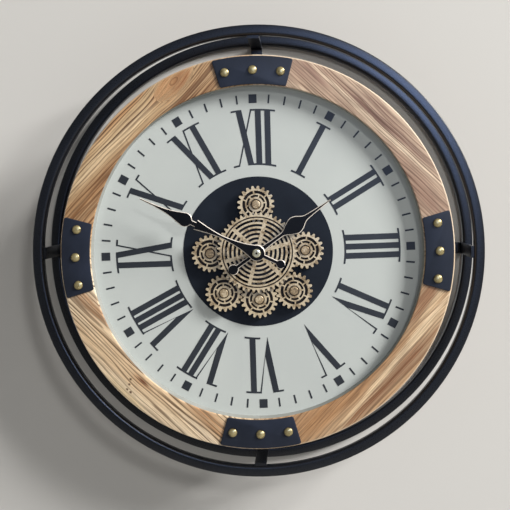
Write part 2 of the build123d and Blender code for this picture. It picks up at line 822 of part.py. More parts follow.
knob_back = movement_back_depth - knob_height - joint_gap
with BuildPart() as knob:
    place = Plane(origin=(knob_offset_x, -knob_back, knob_offset_z), x_dir=(1, 0, 0), z_dir=(0, -1, 0))
    with BuildSketch(place):
        Circle(knob_radius)
        with PolarLocations(knob_radius, knob_ribs):
            Circle(knob_rib_radius, mode=Mode.SUBTRACT)
    extrude(amount=knob_height)
    with BuildSketch(place.offset(knob_height)):
        Circle(knob_shaft_radius)
    extrude(amount=movement_wall + 4 * train_wheel_thickness)
    with BuildSketch(place.offset(knob_height + movement_wall + 2 * train_wheel_thickness)):
        Circle(2 * knob_shaft_radius)
    extrude(amount=2 * train_wheel_thickness)
save(knob, "setting_knob")

# Hands
def blade(shares, reach):
    """Face between a curve through the half widths and its mirror image."""
    with BuildSketch() as face:
        with BuildLine():
            right = Spline(*[(half * reach, along * reach) for half, along in shares])
            left = Spline(*[(-half * reach, along * reach) for half, along in shares])
            Line(right @ 0, left @ 0)
            Line(right @ 1, left @ 1)
        make_face()
    return face.sketch


minute_turn = -minute_angle
hour_turn = -(360.0 * hours_shown + minute_angle) / hours_on_dial - hour_hand_slip
with BuildPart() as hour_hand:
    with BuildSketch(front(hour_hand_back, hour_turn)):
        add(blade(hour_blade, hour_reach))
        Circle(hand_hub_radius)
        with Locations((0, -hour_ball_reach / 2)):
            Rectangle(hand_neck_width, hour_ball_reach)
        with Locations((0, -hour_ball_reach)):
            Circle(hour_ball_radius)
        Circle(tube_radius, mode=Mode.SUBTRACT)
    extrude(amount=hand_thickness)
save(hour_hand, "hour_hand")

stem_end = minute_stem[-1][1] * minute_reach
spade_start = minute_spade[0][1] * minute_reach
neck_width = 2 * minute_spade[0][0] * minute_reach
with BuildPart() as minute_hand:
    with BuildSketch(front(minute_hand_back, minute_turn)):
        add(blade(minute_stem, minute_reach))
        add(blade(minute_spade, minute_reach))
        with Locations((0, (stem_end + spade_start) / 2)):
            Rectangle(neck_width, 2 * (spade_start - stem_end))
        Circle(hand_hub_radius)
        with Locations((0, -minute_ball_reach / 2)):
            Rectangle(hand_neck_width, minute_ball_reach)
        with Locations((0, -minute_ball_reach)):
            Circle(minute_ball_radius)
        Circle(arbor_radius, mode=Mode.SUBTRACT)
    extrude(amount=hand_thickness)
save(minute_hand, "minute_hand")

with BuildPart() as hand_nut:
    with BuildSketch(front(nut_back)):
        Circle(hand_nut_radius)
    extrude(amount=hand_nut_height)
    fillet(hand_nut.edges().filter_by(GeomType.CIRCLE).group_by(Axis.Y)[0], hand_nut_round)
    with BuildSketch(front(nut_front)):
        Circle(hand_nut_dimple)
    extrude(amount=-hand_nut_dimple, mode=Mode.SUBTRACT)
    with BuildSketch(front(nut_back)):
        Circle(arbor_radius)
    extrude(amount=hand_nut_height / 2, mode=Mode.SUBTRACT)
save(hand_nut, "hand_nut")

# Gear drive: case, cover, motor and output shaft, with the case kept above the movement
motor_offset = last_wheel_radius + motor_pinion_radius + seat_play
drive_width = 2 * (motor_offset + motor_radius + seat_play + drive_wall)
drive_bottom = movement_side / 2 + case_gap - shaft_place[1]
drive_top = last_wheel_radius + last_wheel_room + drive_wall
drive_height = drive_top - drive_bottom
drive_middle = (drive_top + drive_bottom) / 2
drive_plane = Plane(
    origin=(shaft_place[0], -drive_back_depth, shaft_place[1]), x_dir=(1, 0, 0), z_dir=(0, -1, 0)
)
with BuildPart() as drive_case:
    with BuildSketch(drive_plane):
        with Locations((0, drive_middle)):
            RectangleRounded(drive_width, drive_height, 2 * drive_wall)
    extrude(amount=drive_depth)
    with BuildSketch(drive_plane):
        with Locations((0, drive_middle)):
            Rectangle(drive_width - 2 * drive_wall, drive_height - 2 * drive_wall)
    extrude(amount=drive_depth - drive_wall, mode=Mode.SUBTRACT)
    with BuildSketch(drive_plane):
        Circle(shaft_radius + running_play)
    extrude(amount=drive_depth, mode=Mode.SUBTRACT)
save(drive_case, "drive_case")

cover_inset = 2 * (drive_wall + hole_play)
with BuildPart() as drive_cover:
    with BuildSketch(drive_plane):
        with Locations((0, drive_middle)):
            Rectangle(drive_width - cover_inset, drive_height - cover_inset)
        Circle(shaft_tail_radius + running_play, mode=Mode.SUBTRACT)
    extrude(amount=drive_wall)
save(drive_cover, "drive_cover")

motor_back = drive_depth - drive_wall - motor_length
last_wheel_back = motor_back - last_wheel_thickness - 2 * joint_gap
with BuildPart() as motor:
    with BuildSketch(drive_plane.offset(motor_back)):
        with Locations((motor_offset, 0)):
            Circle(motor_radius)
    extrude(amount=motor_length)
    with BuildSketch(drive_plane.offset(last_wheel_back)):
        with Locations((motor_offset, 0)):
            Circle(motor_pinion_radius)
    extrude(amount=motor_back - last_wheel_back)
save(motor, "drive_motor")

with BuildPart() as shaft:
    with BuildSketch(drive_plane.offset(pivot_end)):
        Circle(shaft_tail_radius)
    extrude(amount=drive_wall)
    with BuildSketch(drive_plane.offset(drive_wall + joint_gap)):
        Circle(shaft_radius)
    extrude(amount=cap_back - drive_back_depth - drive_wall - joint_gap)
    with BuildSketch(drive_plane.offset(last_wheel_back)):
        Circle(last_wheel_radius)
    extrude(amount=last_wheel_thickness)
    with BuildSketch(drive_plane.offset(cap_back - drive_back_depth)):
        Circle(cap_radius)
    extrude(amount=cap_height)
    fillet(shaft.edges().filter_by(GeomType.CIRCLE).group_by(Axis.Y)[0], cap_round)
save(shaft, "output_shaft")

# Battery tray with two cells, contact plates and the leads to the drive
tray_cell_spread = cell_radius + seat_play
tray_inside = cell_length + 2 * tray_end_room
tray_width = tray_inside + 2 * tray_wall
tray_height = 4 * cell_radius + 4 * seat_play + 2 * tray_wall
tray_drop = movement_side / 2 + tray_gap + tray_height / 2
tray_plane = Plane(origin=(0, -(wood_back - tray_depth), -tray_drop), x_dir=(1, 0, 0), z_dir=(0, -1, 0))
with BuildPart() as tray:
    with BuildSketch(tray_plane):
        RectangleRounded(tray_width, tray_height, tray_wall)
    extrude(amount=tray_depth)
    with BuildSketch(tray_plane):
        Rectangle(tray_inside, tray_height - 2 * tray_wall)
    extrude(amount=tray_depth - tray_wall, mode=Mode.SUBTRACT)
save(tray, "battery_tray")

with BuildPart() as cells:
    for sign in (-1, 1):
        start = (-sign * cell_length / 2, -cell_depth, -tray_drop + sign * tray_cell_spread)
        add(cell(Plane(origin=start, x_dir=(0, 1, 0), z_dir=(sign, 0, 0)), cell_length, cell_radius))
save(cells, "drive_cells")

with BuildPart() as contacts:
    with BuildSketch(tray_plane.offset(tray_depth - tray_wall)):
        for sign_x in (-1, 1):
            for sign_z in (-1, 1):
                with Locations((sign_x * (tray_inside - contact_thickness) / 2, sign_z * tray_cell_spread)):
                    Rectangle(contact_thickness, contact_width)
    extrude(amount=-(tray_depth - 2 * tray_wall))
save(contacts, "tray_contacts")

lead_depth = wood_back - lead_radius
lead_side = max(movement_side, tray_width, drive_width) / 2 + lead_room
with BuildPart() as leads:
    for side in (-0.5, 0.5):
        step = side * lead_pitch
        with BuildLine() as route:
            FilletPolyline(
                (tray_width / 2, -lead_depth, -tray_drop + step),
                (lead_side - step, -lead_depth, -tray_drop + step),
                (lead_side - step, -lead_depth, shaft_place[1] - step),
                (drive_width / 2, -lead_depth, shaft_place[1] - step),
                radius=lead_bend,
            )
        with BuildSketch(Plane(origin=route.line @ 0, z_dir=route.line % 0)):
            Circle(lead_radius)
        sweep(path=route.line)
save(leads, "drive_leads")

# Back panel with its access opening and the pocket behind the keyhole
hanger_middle = flange_inner - hanger_margin - hanger_height / 2
hanger_hole_height = hanger_middle - hanger_slot_rise / 2
hanger_screw_spread = hanger_width / 2 - hanger_screw_inset
hanger_places = [(-hanger_screw_spread, hanger_hole_height), (hanger_screw_spread, hanger_hole_height)]
with BuildPart() as panel:
    with BuildSketch(front(panel_back)):
        Circle(panel_radius)
        with Locations((0, (access_top + access_bottom) / 2)):
            RectangleRounded(access_width, access_top - access_bottom, access_round, mode=Mode.SUBTRACT)
        with Locations((0, hanger_middle)):
            SlotCenterToCenter(
                hanger_slot_rise,
                2 * (hanger_hole_radius + hanger_pocket_play),
                rotation=90,
                mode=Mode.SUBTRACT,
            )
        with Locations(*[polar(foot_screw_circle, angle) for angle in bracket_angles.values()]):
            Circle(screw_radius + hole_play, mode=Mode.SUBTRACT)
        with PolarLocations(foot_screw_circle, len(panel_screw_angles), panel_screw_angles[0]):
            Circle(screw_radius + hole_play, mode=Mode.SUBTRACT)
        with Locations(*hanger_places):
            Circle(screw_radius + hole_play, mode=Mode.SUBTRACT)
    extrude(amount=panel_thickness)
save(panel, "back_panel")

with BuildPart() as hanger:
    with BuildSketch(front(panel_back - hanger_thickness)):
        with Locations((0, hanger_middle)):
            RectangleRounded(hanger_width, hanger_height, 2 * hanger_thickness)
        with Locations((0, hanger_hole_height)):
            Circle(hanger_hole_radius, mode=Mode.SUBTRACT)
        with Locations((0, hanger_middle)):
            SlotCenterToCenter(hanger_slot_rise, 2 * hanger_slot_radius, rotation=90, mode=Mode.SUBTRACT)
        with Locations(*hanger_places):
            Circle(screw_radius + hole_play, mode=Mode.SUBTRACT)
    extrude(amount=hanger_thickness)
save(hanger, "hanger_plate")


def screws(places, head_front, length):
    """Pan-head screws driven from behind, heads ending at a depth from the wall."""
    with BuildPart() as group:
        for x, z in places:
            base = Plane(origin=(x, -head_front, z), x_dir=(1, 0, 0), z_dir=(0, -1, 0))
            with BuildSketch(base.offset(-screw_head_height)):
                Circle(screw_head_radius)
            extrude(amount=screw_head_height)
            with BuildSketch(base):
                Circle(screw_radius)
            extrude(amount=length)
        fillet(group.edges().filter_by(GeomType.CIRCLE).group_by(Axis.Y)[-1], screw_head_height / 3)
    return group


foot_places = [polar(foot_screw_circle, angle) for angle in bracket_angles.values()]
panel_places = [polar(foot_screw_circle, angle) for angle in panel_screw_angles]
segment_places = [polar(segment_screw_circle, angle) for angle in segment_screw_angles]
save(screws(foot_places, foot_back, panel_front - foot_back), "bracket_screws")
save(screws(panel_places, drum_back, panel_front - drum_back), "panel_screws")
save(screws(segment_places, wood_back - drum_sheet, segment_screw_length), "segment_screws")
hanger_back = panel_back - hanger_thickness
save(screws(hanger_places, hanger_back, panel_front - hanger_back), "hanger_screws")
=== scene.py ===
"""Round wall clock in an open black steel cage: a wooden ring of four planks, a printed dial,
turning show gears under the hands, and the movement and gear drive behind.

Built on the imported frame, in metres: the back is at y = 0, the clock faces -Y and Z is up. Sizes of
pieces are in millimetres, as a radius from the axis of the hands and a depth forward from the back.
"""
from math import cos, pi, radians, sin

import bmesh
import bpy
import numpy as np
from mathutils import Matrix, Vector


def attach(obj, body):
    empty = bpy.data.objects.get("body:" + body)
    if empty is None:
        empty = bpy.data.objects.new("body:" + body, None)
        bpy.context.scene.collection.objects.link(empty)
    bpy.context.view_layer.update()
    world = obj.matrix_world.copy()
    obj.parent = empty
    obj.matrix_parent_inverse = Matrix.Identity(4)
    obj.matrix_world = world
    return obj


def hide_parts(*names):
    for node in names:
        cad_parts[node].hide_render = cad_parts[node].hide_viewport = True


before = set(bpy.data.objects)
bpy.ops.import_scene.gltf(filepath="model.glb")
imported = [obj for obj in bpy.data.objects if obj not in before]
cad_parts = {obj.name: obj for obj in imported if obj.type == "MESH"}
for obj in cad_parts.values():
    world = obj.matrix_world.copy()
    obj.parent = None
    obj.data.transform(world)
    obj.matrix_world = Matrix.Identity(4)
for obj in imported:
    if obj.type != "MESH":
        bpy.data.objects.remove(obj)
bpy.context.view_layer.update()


# Setting: a plain pale backdrop close behind the clock and a pale floor well below it.
# Seen from behind, the backdrop lets the view and the light through, so that the back shows.
def put(tree, kind, inputs=None, **settings):
    """Adds a shader node. Each entry of inputs is a value for that socket, or a socket to link to it."""
    made = tree.nodes.new(kind)
    for name, value in settings.items():
        setattr(made, name, value)
    for socket, value in (inputs or {}).items():
        if isinstance(value, bpy.types.NodeSocket):
            tree.links.new(value, made.inputs[socket])
        else:
            made.inputs[socket].default_value = value
    return made


def srgb(red, green, blue):
    """Linear colour of a paint given as it reads on a screen, 0 to 255, by the sRGB curve."""
    shade = np.array([red, green, blue]) / 255.0
    linear = np.where(shade <= 0.04045, shade / 12.92, ((shade + 0.055) / 1.055) ** 2.4)
    return (*linear.tolist(), 1.0)


def setting_paint(name, colour):
    """Matt paint that only its front side shows, and that casts no shadow."""
    paint = bpy.data.materials.new(name)
    paint.use_nodes = True
    tree = paint.node_tree
    coat = tree.nodes["Principled BSDF"]
    coat.inputs["Base Color"].default_value = colour
    coat.inputs["Roughness"].default_value = 0.9
    coat.inputs["Specular IOR Level"].default_value = 0.1
    behind = put(tree, "ShaderNodeNewGeometry").outputs["Backfacing"]
    shadow = put(tree, "ShaderNodeLightPath").outputs["Is Shadow Ray"]
    unseen = put(tree, "ShaderNodeMath", {0: behind, 1: shadow}, operation="MAXIMUM").outputs[0]
    clear = put(tree, "ShaderNodeBsdfTransparent").outputs[0]
    mix = put(tree, "ShaderNodeMixShader", {0: unseen, 1: coat.outputs[0], 2: clear})
    tree.links.new(mix.outputs[0], tree.nodes["Material Output"].inputs["Surface"])
    return paint


def flat_sheet(name, corners, colour):
    """A flat four-cornered sheet of the setting, painted in that colour."""
    mesh = bpy.data.meshes.new(name)
    mesh.from_pydata(corners, [], [(0, 1, 2, 3)])
    mesh.materials.append(setting_paint(name + "_paint", colour))
    sheet = bpy.data.objects.new(name, mesh)
    bpy.context.scene.collection.objects.link(sheet)


reach, backdrop_y, floor_z = 4.0, 0.0006, -1.3
flat_sheet("backdrop", [
    (-reach, backdrop_y, floor_z), (reach, backdrop_y, floor_z),
    (reach, backdrop_y, reach), (-reach, backdrop_y, reach)], srgb(208, 207, 204))
flat_sheet("floor", [
    (-reach, -reach, floor_z), (reach, -reach, floor_z),
    (reach, reach, floor_z), (-reach, reach, floor_z)], srgb(152, 151, 149))


# Light: a broad lamp far to the upper right that grazes the face, a small one nearer the camera that
# draws the hand's shadow, a cool one that only gloss shows, a weak fill from the left and all round,
# and two lamps for the back.
def soft_lamp(name, place, aim, side, watts, colour, lights_all=True):
    """A square area lamp at place, turned to face aim. It may light in reflections only."""
    data = bpy.data.lights.new(name, "AREA")
    data.shape = "SQUARE"
    data.size = side
    data.energy = watts
    data.color = colour
    lamp = bpy.data.objects.new(name, data)
    lamp.location = place
    lamp.rotation_euler = (Vector(aim) - Vector(place)).to_track_quat("-Z", "Y").to_euler()
    lamp.visible_camera = False
    lamp.visible_diffuse = lights_all
    bpy.context.scene.collection.objects.link(lamp)


dial_middle, back_middle = (0.0, -0.07, 0.0), (0.0, -0.02, 0.0)
key_white, hand_white, left_white = (1.0, 0.98, 0.955), (1.0, 0.98, 0.95), (1.0, 0.98, 0.96)
cool_blue, white = (0.40, 0.56, 1.0), (1.0, 1.0, 1.0)
soft_lamp("key_lamp", (5.31, -2.65, 3.45), dial_middle, 2.2, 830.0, key_white)
soft_lamp("hand_lamp", (0.95, -2.2, 1.05), dial_middle, 0.3, 10.0, hand_white)
soft_lamp("gloss_lamp", (0.49, -2.45, 0.46), dial_middle, 0.5, 15.0, cool_blue, lights_all=False)
soft_lamp("left_lamp", (-2.0, -1.2, -0.2), dial_middle, 1.6, 3.0, left_white)
soft_lamp("rear_lamp_right", (1.2, 1.9, 0.6), back_middle, 1.0, 26.0, white)
soft_lamp("rear_lamp_left", (-1.3, 1.8, 0.2), back_middle, 1.0, 18.0, white)

fill_strength, seen_strength = 0.105, 0.86
world = bpy.data.worlds.new("studio")
world.use_nodes = True
sky = world.node_tree
rays = put(sky, "ShaderNodeLightPath").outputs
seen = put(sky, "ShaderNodeMath", {0: rays["Is Camera Ray"], 1: rays["Is Transmission Ray"]},
           operation="MAXIMUM").outputs[0]
level = put(sky, "ShaderNodeMapRange", {"Value": seen, "To Min": fill_strength, "To Max": seen_strength})
sky.nodes["Background"].inputs["Color"].default_value = (*white, 1.0)
sky.links.new(level.outputs[0], sky.nodes["Background"].inputs["Strength"])
bpy.context.scene.world = world
bpy.context.scene.view_settings.view_transform = "Standard"


# Camera: a little right of the middle and above it, looking almost squarely at the dial. The clock
# sits off the lens axis, as in the photograph, so the lens is shifted.
view_from = Vector((0.0493, -0.8700, 0.0592))
view_turn, view_tilt, view_roll = radians(-0.47), radians(-0.38), radians(-2.08)
focal_pixels, frame_pixels, sensor_width = 791.6, 510.0, 36.0
axis_pixels = (298.4, 196.5)
ahead = Vector((sin(view_turn) * cos(view_tilt), cos(view_turn) * cos(view_tilt), sin(view_tilt)))
level_right = ahead.cross(Vector((0.0, 0.0, 1.0))).normalized()
level_up = level_right.cross(ahead)
right = level_right * cos(view_roll) + level_up * sin(view_roll)
up = level_up * cos(view_roll) - level_right * sin(view_roll)
lens = bpy.data.cameras.new("camera")
lens.sensor_fit = "HORIZONTAL"
lens.sensor_width = sensor_width
lens.lens = focal_pixels / frame_pixels * sensor_width
lens.shift_x = 0.5 - axis_pixels[0] / frame_pixels
lens.shift_y = axis_pixels[1] / frame_pixels - 0.5
camera = bpy.data.objects.new("camera", lens)
camera.matrix_world = Matrix((
    (right.x, up.x, -ahead.x, view_from.x), (right.y, up.y, -ahead.y, view_from.y),
    (right.z, up.z, -ahead.z, view_from.z), (0.0, 0.0, 0.0, 1.0)))
bpy.context.scene.collection.objects.link(camera)
bpy.context.scene.camera = camera


# Cage: two rings rolled from flat black steel bar, joined by four welded strips near 12, 3, 6 and 9.
# The feet of the strips carry the drum, a steel hoop with a flange at each end. All of it has a satin
# powder coat with a fine orange peel.
MM = 0.001
corner_steps = 7


def grid_quads(rows, columns, wrap_rows=False, wrap_columns=False):
    """Quads between neighbours on a grid of points, carried on past the last row or column to the first."""
    row, column = np.meshgrid(
        np.arange(rows if wrap_rows else rows - 1), np.arange(columns if wrap_columns else columns - 1),
        indexing="ij")
    next_row, next_column = (row + 1) % rows, (column + 1) % columns
    corners = (row * columns + column, row * columns + next_column,
               next_row * columns + next_column, next_row * columns + column)
    return np.stack(corners, axis=-1).reshape(-1, 4)


def closed_piece(name, points, faces, paints=None, smooth_to=35.0):
    """A closed mesh piece from points in millimetres: doubles merged, faces turned outwards,
    and shaded smooth up to the angle smooth_to between faces. paints gives each face's material."""
    merge_within = 0.002 * MM
    mesh = bpy.data.meshes.new(name)
    mesh.from_pydata((np.asarray(points, float).reshape(-1, 3) * MM).tolist(), [], faces)
    if paints is not None:
        mesh.polygons.foreach_set("material_index", np.asarray(paints, np.int32))
    shape = bmesh.new()
    shape.from_mesh(mesh)
    bmesh.ops.remove_doubles(shape, verts=shape.verts, dist=merge_within)
    bmesh.ops.recalc_face_normals(shape, faces=shape.faces)
    shape.to_mesh(mesh)
    shape.free()
    mesh.shade_smooth()
    mesh.set_sharp_from_angle(angle=radians(smooth_to))
    piece = bpy.data.objects.new(name, mesh)
    bpy.context.scene.collection.objects.link(piece)
    return piece


def rounded_section(inner, outer, back, face, rounds):
    """Closed outline of a bar's section as (radius, depth) pairs: a box whose corners, from the
    inner back one on round, are quarter circles of the given radii."""
    turn = np.linspace(0.0, pi / 2, corner_steps)
    corners = ((inner, back, pi), (outer, back, 1.5 * pi), (outer, face, 0.0), (inner, face, 0.5 * pi))
    arcs = []
    for (radius, depth, start), bend in zip(corners, rounds):
        middle_radius = radius + bend * (1.0 if radius == inner else -1.0)
        middle_depth = depth + bend * (1.0 if depth == back else -1.0)
        arcs.append(np.stack([middle_radius + bend * np.cos(start + turn),
                              middle_depth + bend * np.sin(start + turn)], axis=-1))
    return np.concatenate(arcs)


def about_axis(section, angles):
    """Points of a section of (radius, depth) pairs, set at each of the angles about the axis of the
    hands: x = radius cos(angle), y = -depth, z = radius sin(angle)."""
    angle = angles[:, None]
    radius, depth = section[:, 0][None, :], section[:, 1][None, :]
    return np.stack([radius * np.cos(angle), -depth + 0.0 * angle, radius * np.sin(angle)], axis=-1)


def turned_ring(name, section, steps):
    """A section carried once round the axis of the hands, in even steps."""
    points = about_axis(section, np.linspace(0.0, 2 * pi, steps, endpoint=False))
    return closed_piece(name, points, grid_quads(steps, len(section), True, True).tolist())


def new_group(name, inputs, outputs):
    """An empty shader node group with those sockets; returns it with its input and output nodes."""
    group = bpy.data.node_groups.new(name, "ShaderNodeTree")
    for title, (kind, value) in inputs.items():
        socket = group.interface.new_socket(title, in_out="INPUT", socket_type=kind)
        if value is not None:
            socket.default_value = value
    for title, kind in outputs.items():
        group.interface.new_socket(title, in_out="OUTPUT", socket_type=kind)
    return group, group.nodes.new("NodeGroupInput").outputs, group.nodes.new("NodeGroupOutput").inputs


def mixed(tree, amount, first, second, mode="MIX"):
    """Colour that goes from first to second with amount. The mixer's colours are its sockets 6 and 7."""
    mix = put(tree, "ShaderNodeMix", {0: amount, 6: first, 7: second}, data_type="RGBA", blend_type=mode)
    return mix.outputs[2]


def span(tree, value, low, high, to_low=0.0, to_high=1.0, kind="LINEAR"):
    """Value carried from the range low to high onto the range to_low to to_high, held at its ends."""
    return put(tree, "ShaderNodeMapRange", {
        "Value": value, "From Min": low, "From Max": high, "To Min": to_low, "To Max": to_high},
        interpolation_type=kind).outputs[0]


def sums(tree, operation, first, second=0.0, clamp=False):
    """One sum on two values."""
    return put(tree, "ShaderNodeMath", {0: first, 1: second}, operation=operation, use_clamp=clamp).outputs[0]


def painted(name):
    """A new material; returns it with its node tree, its Principled shader and its Object coordinates."""
    material = bpy.data.materials.new(name)
    material.use_nodes = True
    tree = material.node_tree
    place = put(tree, "ShaderNodeTexCoord").outputs["Object"]
    return material, tree, tree.nodes["Principled BSDF"], place


# Speckle, which most coats share: a fine noise for the skin of a coat, and a broad one for its stains.
speckle, given, gives = new_group("speckle", {
    "Vector": ("NodeSocketVector", None), "Fine Scale": ("NodeSocketFloat", 900.0),
    "Broad Scale": ("NodeSocketFloat", 30.0)},
    {"Fine": "NodeSocketFloat", "Broad": "NodeSocketFloat"})
for mask, detail in (("Fine", 2.0), ("Broad", 3.0)):
    noise = put(speckle, "ShaderNodeTexNoise", {
        "Vector": given["Vector"], "Scale": given[mask + " Scale"], "Detail": detail})
    speckle.links.new(noise.outputs["Fac"], gives[mask])


def speckled(tree, place, fine, broad):
    """The speckle's two masks at place, for the scales of its fine and its broad noise."""
    return put(tree, "ShaderNodeGroup", {"Vector": place, "Fine Scale": fine, "Broad Scale": broad},
               node_tree=speckle).outputs


def coat_material(name, dark, light, rough, fine, broad, bump, metal=0.0, specular=0.5):
    """A coat that drifts from dark to light with the broad speckle; the fine speckle varies its
    roughness between the two values of rough and raises its skin by bump."""
    material, tree, coat, place = painted(name)
    grain = speckled(tree, place, fine, broad)
    tone = span(tree, grain["Broad"], 0.35, 0.65)
    tree.links.new(mixed(tree, tone, dark, light), coat.inputs["Base Color"])
    tree.links.new(span(tree, grain["Fine"], 0.3, 0.7, *rough), coat.inputs["Roughness"])
    coat.inputs["Metallic"].default_value = metal
    coat.inputs["Specular IOR Level"].default_value = specular
    skin = put(tree, "ShaderNodeBump", {"Height": grain["Fine"], "Strength": bump, "Distance": 0.1 * MM})
    tree.links.new(skin.outputs[0], coat.inputs["Normal"])
    return material


def dress(material, *names):
    """Gives CAD nodes their material."""
    for name in names:
        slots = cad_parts[name].data.materials
        slots.clear()
        slots.append(material)


def over(piece, materials, body, slot, *names):
    """A new piece gets its materials, rides on a body and stands for those CAD nodes. The slot is not
    used."""
    for material in materials:
        piece.data.materials.append(material)
    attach(piece, body)
    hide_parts(*names)


black_coat = coat_material(
    "black_powder_coat", srgb(14, 17, 23), srgb(19, 22, 29),
    rough=(0.26, 0.34), fine=1400.0, broad=14.0, bump=0.06)
ring_inner, ring_outer, ring_rounds, ring_steps = 219.3, 230.0, (0.8, 0.8, 1.2, 3.0), 288
ring_depths = {"back_ring": (0.0, 8.0), "front_ring": (59.0, 67.0)}
for ring, (back, face) in ring_depths.items():
    section = rounded_section(ring_inner, ring_outer, back, face, ring_rounds)
    hoop = turned_ring(ring + "_bar", section, ring_steps)
    over(hoop, [black_coat], "clock_body", "black_steel", ring)
dress(black_coat, "bracket_right", "bracket_top", "bracket_left", "bracket_bottom",
      "drum_hoop", "drum_flange_rear", "drum_flange_front")


# Wooden ring: four sawn planks, each a quadrant, butted near 12, 3, 6 and 9, with the grain along
# the chord. Thin clear matt finish; the front edges are eased, the back is rabbeted for the dial,
# and the side round the dial is sealed with off-white primer.
wood_inner, wood_outer, wood_back, wood_face, edge_round = 166.5, 196.8, 64.0, 82.0, 1.2
rabbet_radius, rabbet_floor = 176.0, 70.0


def vectors(tree, operation, first, second):
    """One sum on two vectors."""
    return put(tree, "ShaderNodeVectorMath", {0: first, 1: second}, operation=operation).outputs[0]


def vector_value(tree, operation, *terms):
    """One sum on vectors that gives a value."""
    return put(tree, "ShaderNodeVectorMath", dict(enumerate(terms)), operation=operation).outputs["Value"]


def off_axis(tree, place):
    """Distance of place from the axis of the hands."""
    return vector_value(tree, "LENGTH", vectors(tree, "MULTIPLY", place, (1.0, 0.0, 1.0)))


def axes_of(tree, vector):
    """The X, Y and Z of a vector."""
    return put(tree, "ShaderNodeSeparateXYZ", {0: vector}).outputs


def from_axes(tree, *values):
    """A vector from its X, Y and Z."""
    return put(tree, "ShaderNodeCombineXYZ", dict(enumerate(values))).outputs[0]


def stretched(tree, vector, scale, detail, roughness=0.5):
    """Noise on a vector stretched by scale, so that it runs along the grain."""
    return put(tree, "ShaderNodeTexNoise", {
        "Vector": vectors(tree, "MULTIPLY", vector, scale), "Scale": 1.0, "Detail": detail,
        "Roughness": roughness}).outputs["Fac"]


# Plank figure: the grain goes along the plank, across it and into it, in millimetres. It sways, and
# it spreads round the knot. Growth lines darken slowly and end sharply, each with its own strength.
plank, given, gives = new_group("plank_figure", {
    "Vector": ("NodeSocketVector", None), "Seed": ("NodeSocketFloat", 0.0),
    "Wander": ("NodeSocketFloat", 14.0), "Line Spacing": ("NodeSocketFloat", 4.0),
    "Knot Place": ("NodeSocketVector", None), "Knot Size": ("NodeSocketVector", None),
    "Knot Push": ("NodeSocketFloat", 0.0)},
    {"Grain": "NodeSocketVector", "Band": "NodeSocketFloat", "Line": "NodeSocketFloat",
     "Fibre": "NodeSocketFloat", "Hatch": "NodeSocketFloat", "Pore": "NodeSocketFloat"})
seed_shift = (371.0, 93.0, 57.0)
stretch = {
    "sway": (0.007, 0.016, 0.016), "drift": (0.005, 0.09, 0.09), "fading": (0.013, 0.14, 0.14),
    "band": (0.0035, 0.045, 0.03), "fibre": (0.03, 0.95, 0.95), "hatch": (0.012, 0.42, 0.36),
    "pore": (0.06, 1.5, 1.5)}
lines_of_drift, lines_of_knot = 5.0, 4.0

from_knot = vectors(plank, "SUBTRACT", given["Vector"], given["Knot Place"])
knot_share = vectors(plank, "DIVIDE", from_knot, given["Knot Size"])
knot_far = vector_value(plank, "DOT_PRODUCT", knot_share, knot_share)
knot_near = sums(plank, "EXPONENT", sums(plank, "MULTIPLY", knot_far, -1.0))
push = sums(plank, "MULTIPLY", sums(plank, "MULTIPLY", knot_near, given["Knot Push"]),
            axes_of(plank, from_knot)["Y"])
shift = from_axes(plank, *[sums(plank, "MULTIPLY", given["Seed"], step) for step in seed_shift])
sway = stretched(plank, vectors(plank, "ADD", given["Vector"], shift), stretch["sway"], 2.0)
sway = sums(plank, "MULTIPLY", sums(plank, "SUBTRACT", sway, 0.5), given["Wander"])
axes = axes_of(plank, given["Vector"])
across = sums(plank, "SUBTRACT", sums(plank, "ADD", axes["Y"], sway), push)
grain_place = from_axes(plank, axes["X"], across, axes["Z"])
moved = vectors(plank, "ADD", grain_place, shift)

drift = sums(plank, "MULTIPLY", stretched(plank, moved, stretch["drift"], 2.0), lines_of_drift)
year = sums(plank, "ADD", sums(plank, "DIVIDE", across, given["Line Spacing"]), drift)
knot_rings = sums(plank, "MULTIPLY", sums(plank, "SQRT", knot_far), lines_of_knot)
at_knot = sums(plank, "MULTIPLY", span(plank, knot_near, 0.3, 0.95, kind="SMOOTHSTEP"),
               sums(plank, "GREATER_THAN", given["Knot Push"], 0.0))
to_rings = sums(plank, "MULTIPLY", at_knot, sums(plank, "SUBTRACT", knot_rings, year))
year = sums(plank, "ADD", year, to_rings)
early = sums(plank, "FRACT", year)
darkening = span(plank, early, 0.42, 0.86, kind="SMOOTHSTEP")
late = sums(plank, "MULTIPLY", darkening, span(plank, early, 1.0, 0.92))
year_seed = sums(plank, "ADD", sums(plank, "FLOOR", year), given["Seed"])
strength = put(plank, "ShaderNodeTexWhiteNoise", {"W": year_seed}, noise_dimensions="1D").outputs["Value"]
fading = span(plank, stretched(plank, moved, stretch["fading"], 2.0), 0.36, 0.58, 0.65, 1.0)
fading = sums(plank, "MULTIPLY", fading, span(plank, at_knot, 0.0, 1.0, 1.0, 0.55))
line = sums(plank, "MULTIPLY", late, span(plank, strength, 0.0, 1.0, 0.55, 1.0))

plank.links.new(grain_place, gives["Grain"])
plank.links.new(sums(plank, "MULTIPLY", line, fading), gives["Line"])
plank.links.new(stretched(plank, moved, stretch["band"], 2.0), gives["Band"])
plank.links.new(stretched(plank, moved, stretch["fibre"], 4.0, 0.65), gives["Fibre"])
plank.links.new(span(plank, stretched(plank, moved, stretch["hatch"], 2.0), 0.44, 0.56), gives["Hatch"])
plank.links.new(span(plank, stretched(plank, moved, stretch["pore"], 1.0), 0.62, 0.74), gives["Pore"])

